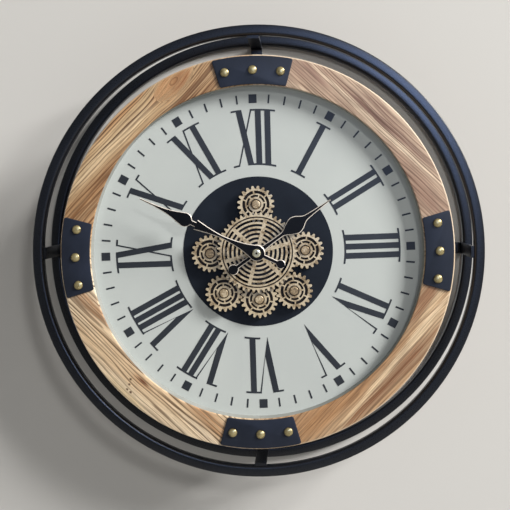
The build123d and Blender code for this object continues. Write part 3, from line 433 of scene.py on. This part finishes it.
# Plank mark: a streaky patch in the wood, lens shaped, with its middle, half sizes and tilt in the
# grain. The fibres fray its rim, and hatching breaks it up.
mark, given, gives = new_group("plank_mark", {
    "Grain": ("NodeSocketVector", None), "Fibre": ("NodeSocketFloat", 0.5), "Hatch": ("NodeSocketFloat", 1.0),
    "Hatching": ("NodeSocketFloat", 0.0), "Middle": ("NodeSocketVector", None),
    "Half Length": ("NodeSocketFloat", 30.0), "Half Width": ("NodeSocketFloat", 5.0),
    "Tilt": ("NodeSocketFloat", 0.0), "Share": ("NodeSocketFloat", 0.5)}, {"Mask": "NodeSocketFloat"})
offset = axes_of(mark, vectors(mark, "SUBTRACT", given["Grain"], given["Middle"]))
rise = sums(mark, "SUBTRACT", offset["Y"], sums(mark, "MULTIPLY", offset["X"], given["Tilt"]))
run_share = sums(mark, "DIVIDE", offset["X"], given["Half Length"])
rise_share = sums(mark, "DIVIDE", rise, given["Half Width"])
far = vector_value(mark, "LENGTH", from_axes(mark, run_share, rise_share))
frayed = sums(mark, "ADD", far, span(mark, given["Fibre"], 0.25, 0.75, 0.55, -0.55))
bare = sums(mark, "SUBTRACT", 1.0, given["Hatch"])
hatched = sums(mark, "SUBTRACT", 1.0, sums(mark, "MULTIPLY", given["Hatching"], bare))
patch = sums(mark, "MULTIPLY", span(mark, frayed, 1.25, 0.45, kind="SMOOTHSTEP"), given["Share"])
mark.links.new(sums(mark, "MULTIPLY", patch, hatched), gives["Mask"])


def plank_material(name, middle, seed, wander, spacing, knot, pale, tan, dark, line_share, rim_highlight_share, marks):
    """Bare plank whose grain runs square to the direction middle, in degrees. The bands go from pale to
    tan, the marks colour them, and growth lines, fibres and pores darken them. A knot is a place along
    and across the plank, two half sizes and a push; a mark is a place, two half sizes, a tilt, a share,
    how much of it is hatched, and a colour. The eased outer edge is paled to cream by the rim share,
    partly the wood's sanding and partly a painted highlight."""
    knot_depth, pore_share, rim_highlight_cream = 60.0, 0.4, srgb(226, 208, 182)
    material, tree, wood, place = painted(name)
    turn = radians(middle)
    along, across, into = (sin(turn), 0.0, -cos(turn)), (cos(turn), 0.0, sin(turn)), (0.0, -1.0, 0.0)
    laid = from_axes(tree, *[
        vector_value(tree, "DOT_PRODUCT", place, [part / MM for part in way])
        for way in (along, across, into)])
    figure = put(tree, "ShaderNodeGroup", {
        "Vector": laid, "Seed": seed, "Wander": wander, "Line Spacing": spacing,
        "Knot Place": (knot[0], knot[1], wood_face), "Knot Size": (knot[2], knot[3], knot_depth),
        "Knot Push": knot[4]}, node_tree=plank).outputs
    colour = mixed(tree, span(tree, figure["Band"], 0.36, 0.64), pale, tan)
    for run, out, half_length, half_width, tilt, share, hatching, tint in marks:
        patch = put(tree, "ShaderNodeGroup", {
            "Grain": figure["Grain"], "Fibre": figure["Fibre"], "Hatch": figure["Hatch"],
            "Hatching": hatching, "Middle": (run, out, 0.0), "Half Length": half_length,
            "Half Width": half_width, "Tilt": tilt, "Share": share}, node_tree=mark)
        colour = mixed(tree, patch.outputs["Mask"], colour, tint)
    colour = mixed(tree, sums(tree, "MULTIPLY", figure["Line"], line_share), colour, dark)
    fibre = span(tree, figure["Fibre"], 0.36, 0.64, 0.72, 1.2)
    colour = mixed(tree, 1.0, colour, from_axes(tree, fibre, fibre, fibre), "MULTIPLY")
    colour = mixed(tree, sums(tree, "MULTIPLY", figure["Pore"], pore_share), colour, dark)
    # Painted highlight: the eased outer edge is paled to cream, partly the wood's sanding and partly the
    # light it catches; each plank's share is larger towards the light.
    near_rim = [(wood_outer - short) * MM for short in (1.8, 0.6)]
    near_face = [-(wood_face - short) * MM for short in (1.6, 0.8)]
    rim_highlight = span(tree, off_axis(tree, place), *near_rim, 0.0, rim_highlight_share)
    at_face = span(tree, axes_of(tree, place)["Y"], *near_face)
    colour = mixed(tree, sums(tree, "MULTIPLY", rim_highlight, at_face), colour, rim_highlight_cream)
    tree.links.new(colour, wood.inputs["Base Color"])
    tree.links.new(span(tree, figure["Line"], 0.0, 1.0, 0.48, 0.62), wood.inputs["Roughness"])
    wood.inputs["Specular IOR Level"].default_value = 0.3
    height = sums(tree, "SUBTRACT", figure["Fibre"], figure["Pore"])
    skin = put(tree, "ShaderNodeBump", {"Height": height, "Strength": 0.2, "Distance": 0.2 * MM})
    tree.links.new(skin.outputs[0], wood.inputs["Normal"])
    return material


def arc_bar(name, section, start, end, steps, side_paints):
    """A section of (radius, depth) pairs carried along an arc from start to end degrees about the
    axis of the hands, closed by a flat face at each end. side_paints gives the material of each of
    the section's sides."""
    points = about_axis(section, np.radians(np.linspace(start, end, steps)))
    faces = grid_quads(steps, len(section), False, True).tolist()
    first = np.arange(len(section))
    faces += [first.tolist(), (first + (steps - 1) * len(section)).tolist()]
    return closed_piece(name, points, faces, np.concatenate([np.tile(side_paints, steps - 1), [0, 0]]))


front_edges = rounded_section(
    wood_inner, wood_outer, rabbet_floor, wood_face, (0.0, 0.0, edge_round, edge_round))[2 * corner_steps:]
plank_section = np.concatenate([front_edges, [
    (wood_inner, rabbet_floor), (rabbet_radius, rabbet_floor),
    (rabbet_radius, wood_back), (wood_outer, wood_back)]])
side_paints = np.zeros(len(plank_section), int)
side_paints[len(front_edges) - 1] = 1
primer = coat_material(
    "dial_wall_primer", srgb(144, 146, 141), srgb(156, 157, 152),
    rough=(0.55, 0.7), fine=900.0, broad=40.0, bump=0.1, specular=0.2)
joints = {"right": -1.6, "top": 89.45, "left": 179.6, "bottom": 268.95}
butt_gap, plank_steps = 0.03, 97
no_knot = (0.0, 120.0, 30.0, 20.0, 0.0)
planks = {
    "upper_right": (joints["right"], joints["top"], plank_material(
        "plank_upper_right", middle=45.0, seed=1.3, wander=8.0, spacing=3.2, knot=no_knot,
        pale=srgb(212, 188, 162), tan=srgb(184, 156, 134), dark=srgb(98, 70, 56),
        line_share=0.9, rim_highlight_share=0.7, marks=(
            (6.0, 181.0, 74.0, 5.5, 0.0, 0.9, 0.8, srgb(116, 84, 72)),
            (0.0, 190.0, 38.0, 3.6, 0.0, 0.8, 0.8, srgb(122, 92, 78)),
            (-87.0, 166.0, 28.0, 9.0, 0.15, 0.75, 0.6, srgb(140, 106, 92)),
            (77.0, 155.0, 38.0, 12.0, -0.2, 0.65, 0.6, srgb(148, 114, 96)),
            (-48.0, 156.5, 50.0, 4.0, 0.28, 0.8, 0.2, srgb(222, 199, 172)),
            (5.0, 174.0, 96.0, 3.4, 0.0, 0.9, 0.2, srgb(228, 207, 180))))),
    "upper_left": (joints["top"], joints["left"], plank_material(
        "plank_upper_left", middle=135.0, seed=2.7, wander=11.0, spacing=3.6,
        knot=(68.0, 177.0, 24.0, 12.0, 0.8),
        pale=srgb(208, 178, 138), tan=srgb(180, 141, 101), dark=srgb(80, 48, 26),
        line_share=1.0, rim_highlight_share=0.3, marks=(
            (68.0, 156.0, 66.0, 16.0, 0.0, 0.85, 0.85, srgb(112, 72, 42)),
            (-65.0, 157.0, 64.0, 15.0, 0.0, 0.8, 0.85, srgb(118, 78, 46)),
            (-25.0, 179.0, 80.0, 6.0, 0.0, 0.7, 0.4, srgb(224, 200, 164)),
            (8.0, 193.0, 46.0, 3.0, 0.0, 0.55, 0.3, srgb(186, 132, 84)),
            (64.0, 178.5, 30.0, 9.0, 0.0, 0.6, 0.3, srgb(190, 130, 78)),
            (72.0, 175.5, 14.0, 3.4, 0.0, 0.8, 0.5, srgb(126, 72, 38))))),
    "lower_left": (joints["left"], joints["bottom"], plank_material(
        "plank_lower_left", middle=225.0, seed=4.1, wander=10.0, spacing=4.6, knot=no_knot,
        pale=srgb(239, 221, 191), tan=srgb(216, 188, 152), dark=srgb(82, 55, 31),
        line_share=1.0, rim_highlight_share=0.5, marks=(
            (-80.0, 155.0, 38.0, 8.0, 0.0, 0.7, 0.5, srgb(178, 126, 80)),
            (87.0, 152.0, 32.0, 9.0, 0.0, 0.7, 0.5, srgb(172, 120, 76)),
            (0.0, 193.0, 30.0, 5.0, 0.0, 0.5, 0.2, srgb(210, 184, 134)),
            (-90.0, 169.5, 44.0, 5.0, 0.0, 0.6, 0.2, srgb(236, 219, 192)),
            (-3.5, 172.0, 13.0, 3.4, 0.0, 0.55, 0.2, srgb(196, 142, 94)),
            (-4.0, 171.5, 9.0, 1.7, 0.05, 0.95, 0.3, srgb(108, 58, 34)),
            (-2.5, 187.0, 1.6, 1.3, 0.0, 0.95, 0.0, srgb(80, 52, 34)),
            (2.0, 187.3, 1.5, 1.2, 0.0, 0.95, 0.0, srgb(80, 52, 34)),
            (3.8, 182.5, 1.5, 1.2, 0.0, 0.95, 0.0, srgb(80, 52, 34)),
            (6.3, 177.5, 1.6, 1.2, 0.0, 0.95, 0.0, srgb(80, 52, 34))))),
    "lower_right": (joints["bottom"], joints["right"] + 360.0, plank_material(
        "plank_lower_right", middle=315.0, seed=5.9, wander=14.0, spacing=3.8, knot=no_knot,
        pale=srgb(201, 173, 139), tan=srgb(178, 141, 104), dark=srgb(92, 58, 33),
        line_share=0.6, rim_highlight_share=0.6, marks=(
            (4.0, 185.0, 84.0, 7.0, 0.0, 0.95, 0.35, srgb(138, 95, 66)),
            (-78.0, 153.5, 30.0, 8.0, 0.1, 0.75, 0.6, srgb(146, 102, 72)),
            (62.0, 162.0, 48.0, 13.0, -0.1, 0.55, 0.5, srgb(176, 128, 84)),
            (-34.0, 173.5, 70.0, 4.6, 0.07, 0.85, 0.2, srgb(228, 203, 168)),
            (40.0, 178.0, 46.0, 2.8, 0.06, 0.7, 0.2, srgb(220, 193, 156)),
            (-82.0, 162.5, 32.0, 2.8, 0.12, 0.7, 0.2, srgb(222, 195, 158)))))}
for side, (start, end, timber) in planks.items():
    bar = arc_bar("plank_" + side, plank_section, start + butt_gap, end - butt_gap, plank_steps, side_paints)
    over(bar, [timber, primer], "clock_body", "wood", "wood_segment_" + side)


# Cover plates: four black steel plates over the butt joints, blanked from sheet with the edges
# broken, under three brass dome nails each.
def sector_outline(inner, outer, half_angle, taper, corner, middle):
    """Outline of a plate cut from a ring, with rounded corners, as x and z in millimetres: the four
    corner arcs in the plate's own length and width, then bent round the axis of the hands. Towards
    the inner radius each end is drawn in, by the angle taper at most."""
    long_steps = 25
    middle_radius = (inner + outer) / 2
    side_run, side_rise = radians(half_angle) * middle_radius - corner, (outer - inner) / 2 - corner
    turn = np.linspace(0.0, pi / 2, corner_steps)
    run = np.linspace(-1.0, 1.0, long_steps)[1:-1]
    pairs = []
    for quarter, (sign_u, sign_v) in enumerate(((1, 1), (-1, 1), (-1, -1), (1, -1))):
        bend = turn + quarter * pi / 2
        pairs.append(np.stack([sign_u * side_run + corner * np.cos(bend),
                               sign_v * side_rise + corner * np.sin(bend)], axis=-1))
        if quarter == 0:
            pairs.append(np.stack([-run * side_run, np.full_like(run, side_rise + corner)], axis=-1))
        if quarter == 2:
            pairs.append(np.stack([run * side_run, np.full_like(run, -side_rise - corner)], axis=-1))
    flat = np.concatenate(pairs)
    radius = middle_radius + flat[:, 1]
    draw_in = 1.0 - taper / half_angle * (outer - radius) / (outer - inner)
    angle = radians(middle) + flat[:, 0] / middle_radius * draw_in
    return np.stack([radius * np.cos(angle), radius * np.sin(angle)], axis=-1)


def blanked_plate(name, outline, back, face, broken):
    """A plate of that outline from back to face in depth, with a face at each end: one ring of points
    at the back, and four up its front edge, which is broken in a quarter circle by drawing them in
    along the outline's normals."""
    edge_steps = 4
    ahead_of = np.roll(outline, -1, axis=0) - np.roll(outline, 1, axis=0)
    inward = np.stack([-ahead_of[:, 1], ahead_of[:, 0]], axis=-1)
    inward /= np.linalg.norm(inward, axis=1, keepdims=True)
    middle = outline.mean(axis=0)
    inward *= np.sign(((middle - outline) * inward).sum(axis=1).sum())
    bend = np.linspace(0.0, pi / 2, edge_steps)
    draws = np.concatenate([[0.0], broken * (1 - np.cos(bend))])
    depths = np.concatenate([[back], face - broken + broken * np.sin(bend)])
    ring = outline[None] + inward[None] * draws[:, None, None]
    points = np.stack([ring[..., 0], -depths[:, None] + 0.0 * ring[..., 0], ring[..., 1]], axis=-1)
    first = np.arange(len(outline))
    faces = grid_quads(len(draws), len(outline), False, True).tolist()
    faces += [first.tolist(), (first + (len(draws) - 1) * len(outline)).tolist()]
    return closed_piece(name, points, faces)


plate_coat = coat_material(
    "plate_black", srgb(26, 32, 44), srgb(32, 38, 52),
    rough=(0.42, 0.54), fine=1100.0, broad=40.0, bump=0.10, specular=0.3)
plate_inner, plate_outer, plate_front = 167.4, 195.5, 83.5
plate_half_angle, plate_taper, plate_corner, plate_edge = 12.0, 0.7, 2.0, 0.4
for side, angle in joints.items():
    outline = sector_outline(plate_inner, plate_outer, plate_half_angle, plate_taper, plate_corner, angle)
    plate = blanked_plate("plate_" + side, outline, wood_face, plate_front, plate_edge)
    over(plate, [plate_coat], "clock_body", "plate_steel", "cover_plate_" + side)


# Dome nails: twelve upholstery nails with pressed brass heads, driven through the plates.
# The brass goes dark at the low rim and bright at the top, as painted shade and a painted highlight.
def dome_heads(name, circle, angles, radius, height, base):
    """Nail heads as one mesh: a half ellipse of that radius and height, on a thin rim, turned round
    each nail's own axis. Points go by nail, by step round and by step up the dome."""
    rim, up_steps, round_steps = 0.35, 12, 32
    rise = np.linspace(0.0, pi / 2, up_steps)
    dome_radius = np.concatenate([[0.0, radius], radius * np.cos(rise)])
    dome_depth = np.concatenate([[0.0, 0.0], rim + (height - rim) * np.sin(rise)])
    turn = np.linspace(0.0, 2 * pi, round_steps, endpoint=False)
    places = np.stack([circle * np.cos(angles), circle * np.sin(angles)], axis=-1)
    x = places[:, 0, None, None] + dome_radius[None, None, :] * np.cos(turn)[None, :, None]
    z = places[:, 1, None, None] + dome_radius[None, None, :] * np.sin(turn)[None, :, None]
    y = -(base + dome_depth)[None, None, :] + 0.0 * x
    quads = grid_quads(round_steps, len(dome_radius), True, False)
    nail_starts = np.arange(len(places)) * round_steps * len(dome_radius)
    faces = (quads[None] + nail_starts[:, None, None]).reshape(-1, 4)
    return closed_piece(name, np.stack([x, y, z], axis=-1), faces.tolist())


nail_circle, nail_spread = (plate_inner + plate_outer) / 2, 8.8
nail_radius, nail_height = 4.5, 2.6
nail_angles = np.radians(np.add.outer(list(joints.values()), [-nail_spread, 0.0, nail_spread]).reshape(-1))
nails = dome_heads("dome_nail_heads", nail_circle, nail_angles, nail_radius, nail_height, plate_front)
nail_brass, tree, brass, place = painted("brass_dome_shade_highlight")
grain = speckled(tree, place, fine=900.0, broad=260.0)
# Painted shade and highlight: each dome is coloured dark brown at its base and pale brass at its top, broken
# up by broad blotches.
crown_highlight = span(tree, axes_of(tree, place)["Y"], -(plate_front + 0.3) * MM, -(plate_front + 2.3) * MM)
highlight_and_wear = sums(tree, "ADD", crown_highlight, span(tree, grain["Broad"], 0.3, 0.7, -0.3, 0.3), clamp=True)
tree.links.new(mixed(tree, highlight_and_wear, srgb(66, 54, 30), srgb(182, 168, 122)), brass.inputs["Base Color"])
tree.links.new(span(tree, grain["Broad"], 0.3, 0.7, 0.24, 0.42), brass.inputs["Roughness"])
brass.inputs["Metallic"].default_value = 0.6
over(nails, [nail_brass], "clock_body", "nail_brass", "dome_nails")


# Dial: a hardboard disc with a printed off-white sheet on it, faintly clouded, and a black disc
# behind the gears. The numerals and minute marks are printed in slate ink with a slight gloss. The
# back panel is cut from the same hardboard.
dress(coat_material(
    "dial_sheet", srgb(189, 195, 193), srgb(196, 202, 199),
    rough=(0.46, 0.56), fine=700.0, broad=9.0, bump=0.03, specular=0.3), "dial_face")
dress(coat_material(
    "slate_ink", srgb(40, 44, 50), srgb(49, 53, 59),
    rough=(0.40, 0.50), fine=900.0, broad=22.0, bump=0.04, specular=0.3), "hour_numerals", "minute_marks")
dress(coat_material(
    "disc_black", srgb(20, 25, 33), srgb(26, 32, 41),
    rough=(0.44, 0.56), fine=900.0, broad=30.0, bump=0.06, specular=0.2), "centre_disc")
dress(coat_material(
    "hardboard", srgb(104, 77, 53), srgb(120, 90, 63),
    rough=(0.62, 0.78), fine=1500.0, broad=240.0, bump=0.25), "dial_board", "back_panel")


# Show gears: six small cast gears and the slotted front wheel, in antique gold paint with a dark
# wash left in the recesses. The wheel behind them, seen through the slots, is a dark brown made
# darker still, as painted shade in the slots.
wash, given, gives = new_group("antique_wash", {
    "Vector": ("NodeSocketVector", None), "Low Depth": ("NodeSocketFloat", None),
    "High Depth": ("NodeSocketFloat", None)},
    {"Colour": "NodeSocketColor", "Fine": "NodeSocketFloat", "Rough": "NodeSocketFloat"})
grain = speckled(wash, given["Vector"], fine=700.0, broad=120.0)
depth = sums(wash, "MULTIPLY", axes_of(wash, given["Vector"])["Y"], -1.0)
high = span(wash, depth, given["Low Depth"], given["High Depth"])
rub = sums(wash, "ADD", high, span(wash, grain["Broad"], 0.3, 0.7, -0.36, 0.2), clamp=True)
rub = sums(wash, "ADD", rub, span(wash, grain["Fine"], 0.3, 0.7, -0.16, 0.16), clamp=True)
ramp = put(wash, "ShaderNodeValToRGB", {0: rub})
stops = ((0.0, srgb(30, 23, 16)), (0.4, srgb(76, 60, 42)),
         (0.72, srgb(168, 146, 112)), (1.0, srgb(224, 206, 172)))
ramp.color_ramp.elements.remove(ramp.color_ramp.elements[0])
for index, (position, colour) in enumerate(stops):
    stop = ramp.color_ramp.elements[0] if index == 0 else ramp.color_ramp.elements.new(position)
    stop.position = position
    stop.color = colour
wash.links.new(ramp.outputs[0], gives["Colour"])
wash.links.new(grain["Fine"], gives["Fine"])
wash.links.new(span(wash, rub, 0.0, 1.0, 0.62, 0.36), gives["Rough"])


def gold_material(name, low, high):
    """Antique gold that is washed dark below the depth low and rubbed bright above the depth high."""
    material, tree, gold, place = painted(name)
    finish = put(tree, "ShaderNodeGroup", {
        "Vector": place, "Low Depth": low * MM, "High Depth": high * MM}, node_tree=wash).outputs
    tree.links.new(finish["Colour"], gold.inputs["Base Color"])
    tree.links.new(finish["Rough"], gold.inputs["Roughness"])
    gold.inputs["Metallic"].default_value = 0.35
    skin = put(tree, "ShaderNodeBump", {"Height": finish["Fine"], "Strength": 0.15, "Distance": 0.1 * MM})
    tree.links.new(skin.outputs[0], gold.inputs["Normal"])
    return material


dress(gold_material("gear_gold", 75.4, 78.3), "gear_top", "gear_right", "gear_bottom", "gear_left",
      "gear_lower_left", "gear_lower_right")
dress(gold_material("stud_gold", 77.4, 80.6), "gear_studs", "output_shaft")
dress(gold_material("wheel_gold", 81.6, 83.4), "front_wheel")
# Painted shade: the drive wheel is coloured near black, so that the slots over it read as shade.
dress(coat_material(
    "drive_wheel_slot_shade", srgb(24, 20, 17), srgb(38, 32, 26),
    rough=(0.5, 0.62), fine=700.0, broad=90.0, bump=0.12), "drive_wheel")


# Hands: pressed steel, painted black, with the broken edges in pale champagne, partly the bare metal
# of the edges and partly a painted highlight along them. Each is flat with a bevel all round, a ball
# behind the hub, and a hole for its shaft.
def flowing(s, stations, values):
    """A cubic curve through the values at the stations; its slope at each comes from both neighbours."""
    slopes = np.gradient(values, stations)
    at = np.clip(np.searchsorted(stations, s) - 1, 0, len(stations) - 2)
    step = stations[at + 1] - stations[at]
    t = np.clip((s - stations[at]) / step, 0.0, 1.0)
    return ((1 + 2 * t) * (1 - t) ** 2 * values[at] + t * (1 - t) ** 2 * step * slopes[at]
            + t ** 2 * (3 - 2 * t) * values[at + 1] - t ** 2 * (1 - t) * step * slopes[at + 1])


def hand_piece(name, lengths, hub, hole, ball, neck, back, face, bevel, pointing):
    """A hand as two halves about its length. Along the length s the half width is the widest of the
    blade, the hub circle, the neck and the ball circle; across it, the section goes from the hole's
    edge over the flat, down the bevel and back underneath. The blade is a run of lengths, each with
    its stations and half widths."""
    bevel_width_share, bevel_depth_share, section_points = 0.6, 0.35, 5
    ball_steps, neck_steps, hub_steps, hole_steps, blade_steps = 33, 5, 33, 25, 90
    ball_place, ball_radius = ball
    s = np.unique(np.concatenate([
        np.linspace(-ball_place - ball_radius, -ball_place + ball_radius, ball_steps),
        np.linspace(-ball_place + ball_radius, -hub, neck_steps),
        hub * np.sin(np.linspace(-pi / 2, pi / 2, hub_steps)),
        hole * np.sin(np.linspace(-pi / 2, pi / 2, hole_steps)),
        *[np.linspace(stations[0], stations[-1], blade_steps) for stations, _ in lengths]]).round(4))
    blade = np.zeros_like(s)
    for stations, widths in lengths:
        blade = np.where((s >= stations[0]) & (s <= stations[-1]), flowing(s, stations, widths), blade)
    hub_width = np.sqrt(np.clip(hub ** 2 - s ** 2, 0.0, None))
    ball_width = np.sqrt(np.clip(ball_radius ** 2 - (s + ball_place) ** 2, 0.0, None))
    neck_width = np.where((s <= 0.0) & (s >= -ball_place), neck / 2, 0.0)
    width = np.maximum.reduce([blade, hub_width, ball_width, neck_width])
    inner = np.minimum(np.sqrt(np.clip(hole ** 2 - s ** 2, 0.0, None)), width)
    drop = np.minimum(bevel, bevel_width_share * (width - inner))
    at_back, at_face = np.full_like(s, back), np.full_like(s, face)
    at_side = np.where(drop > 0.0, face - bevel_depth_share * (face - back), face)
    across = np.stack([inner, inner, width - drop, width, width], axis=-1)
    depth = np.stack([at_back, at_face, at_face, at_side, at_back], axis=-1)
    turn = radians(pointing)
    halves = np.stack([across, -across])
    x = s[None, :, None] * cos(turn) - halves * sin(turn)
    z = s[None, :, None] * sin(turn) + halves * cos(turn)
    points = np.stack([x, -depth[None] + 0.0 * x, z], axis=-1)
    runs = len(s) - 1
    quads = grid_quads(len(s), section_points, False, True).reshape(runs, section_points, 4)
    keep = np.ones((runs, section_points), bool)
    keep[:, 0] = inner[:-1] + inner[1:] > 0.0
    paint = np.tile(np.array([0, 0, 1, 0, 0]), (runs, 1))
    ends = np.stack([np.arange(section_points), np.arange(section_points) + runs * section_points])
    half_starts = np.array([0, len(s) * section_points])[:, None, None]
    faces = (quads[keep][None] + half_starts).reshape(-1, 4).tolist()
    faces += (ends[None] + half_starts).reshape(-1, section_points).tolist()
    paints = np.concatenate([np.tile(paint[keep], 2), [0, 0, 0, 0]])
    return closed_piece(name, points, faces, paints, smooth_to=25.0)


hand_paint = coat_material(
    "hand_black", srgb(8, 9, 11), srgb(13, 14, 17),
    rough=(0.34, 0.46), fine=1200.0, broad=60.0, bump=0.08, specular=0.15)
# Painted highlight: the bevel round each hand is coloured pale champagne, partly for the light it catches.
hand_bevel_highlight = coat_material(
    "hand_bevel_champagne_highlight", srgb(222, 212, 200), srgb(240, 232, 222),
    rough=(0.30, 0.42), fine=900.0, broad=180.0, bump=0.08, metal=0.2)
hub_radius, neck_width, bevel_width = 8.0, 4.0, 0.65
hour_blade = (np.array([5.0, 24.5, 32.5, 39.6, 46.3, 51.3, 57.3, 66.0, 77.5, 89.7]),
              np.array([2.70, 1.96, 2.50, 6.35, 8.75, 7.45, 3.61, 2.10, 1.40, 0.54]))
hour_hand = hand_piece(
    "hour_hand_blade", [hour_blade], hub_radius, hole=2.8, ball=(28.9, 5.2), neck=neck_width,
    back=87.9, face=89.1, bevel=bevel_width, pointing=33.75)
minute_stem = (np.array([4.0, 14.8, 27.0, 38.0, 51.5, 66.0]),
               np.array([6.80, 3.89, 2.16, 1.55, 2.75, 5.10]))
minute_neck = (np.array([66.01, 70.99]), np.array([2.45, 2.45]))
minute_spade = (np.array([71.0, 73.2, 77.7, 82.0, 89.0, 97.5, 106.5, 126.8]),
                np.array([2.45, 5.22, 7.08, 6.21, 4.20, 2.45, 1.50, 0.57]))
minute_hand = hand_piece(
    "minute_hand_blade", [minute_stem, minute_neck, minute_spade], hub_radius, hole=1.5, ball=(25.9, 4.5),
    neck=neck_width, back=92.9, face=94.1, bevel=bevel_width, pointing=153.0)
over(hour_hand, [hand_paint, hand_bevel_highlight], "hour_hand_body", "hand_black", "hour_hand")
over(minute_hand, [hand_paint, hand_bevel_highlight], "minute_hand_body", "hand_black", "minute_hand")


# Hand nut and shafts: turned brass. The nut is domed and polished, with painted shade in its small
# dimple, and the threaded bush, its nut, the hour tube and the minute arbor go back into the movement.
dimple_inner, dimple_outer = 0.8, 1.4
nut_brass, tree, brass, place = painted("polished_brass")
grain = speckled(tree, place, fine=900.0, broad=220.0)
bright = mixed(tree, span(tree, grain["Broad"], 0.35, 0.65), srgb(196, 190, 158), srgb(228, 225, 200))
# Painted shade: the small dimple in the middle of the nut is coloured dark olive.
outside_dimple_shade = span(tree, off_axis(tree, place), dimple_inner * MM, dimple_outer * MM)
tree.links.new(mixed(tree, outside_dimple_shade, srgb(64, 58, 40), bright), brass.inputs["Base Color"])
tree.links.new(span(tree, grain["Fine"], 0.3, 0.7, 0.2, 0.3), brass.inputs["Roughness"])
brass.inputs["Metallic"].default_value = 0.7
dress(nut_brass, "hand_nut")
dress(coat_material(
    "turned_brass", srgb(176, 150, 96), srgb(208, 188, 140),
    rough=(0.26, 0.38), fine=1500.0, broad=220.0, bump=0.06, metal=0.8),
    "threaded_bush", "bush_nut", "hour_tube", "minute_arbor")


# Movement and gear drive: moulded black plastic cases, zinc plated motor, contacts, screws and
# hanger, an off-white setting knob, jacketed cells and a pair of insulated leads.
dress(coat_material(
    "case_plastic", srgb(26, 27, 29), srgb(34, 35, 38),
    rough=(0.42, 0.56), fine=2400.0, broad=40.0, bump=0.2),
    "movement_case", "movement_back", "drive_case", "drive_cover", "battery_tray")
dress(coat_material(
    "knob_plastic", srgb(196, 192, 180), srgb(212, 208, 198),
    rough=(0.36, 0.48), fine=1600.0, broad=80.0, bump=0.08), "setting_knob")
dress(coat_material(
    "cell_jacket", srgb(40, 62, 92), srgb(52, 76, 108),
    rough=(0.24, 0.34), fine=900.0, broad=60.0, bump=0.04), "movement_cell", "drive_cells")
dress(coat_material(
    "zinc_plate", srgb(150, 154, 160), srgb(186, 190, 196),
    rough=(0.28, 0.44), fine=1200.0, broad=150.0, bump=0.08, metal=0.85),
    "drive_motor", "tray_contacts", "wheel_clip", "hanger_plate",
    "bracket_screws", "panel_screws", "segment_screws", "hanger_screws")
dress(coat_material(
    "lead_sheath", srgb(120, 28, 26), srgb(146, 40, 36),
    rough=(0.4, 0.5), fine=1200.0, broad=120.0, bump=0.06), "drive_leads")
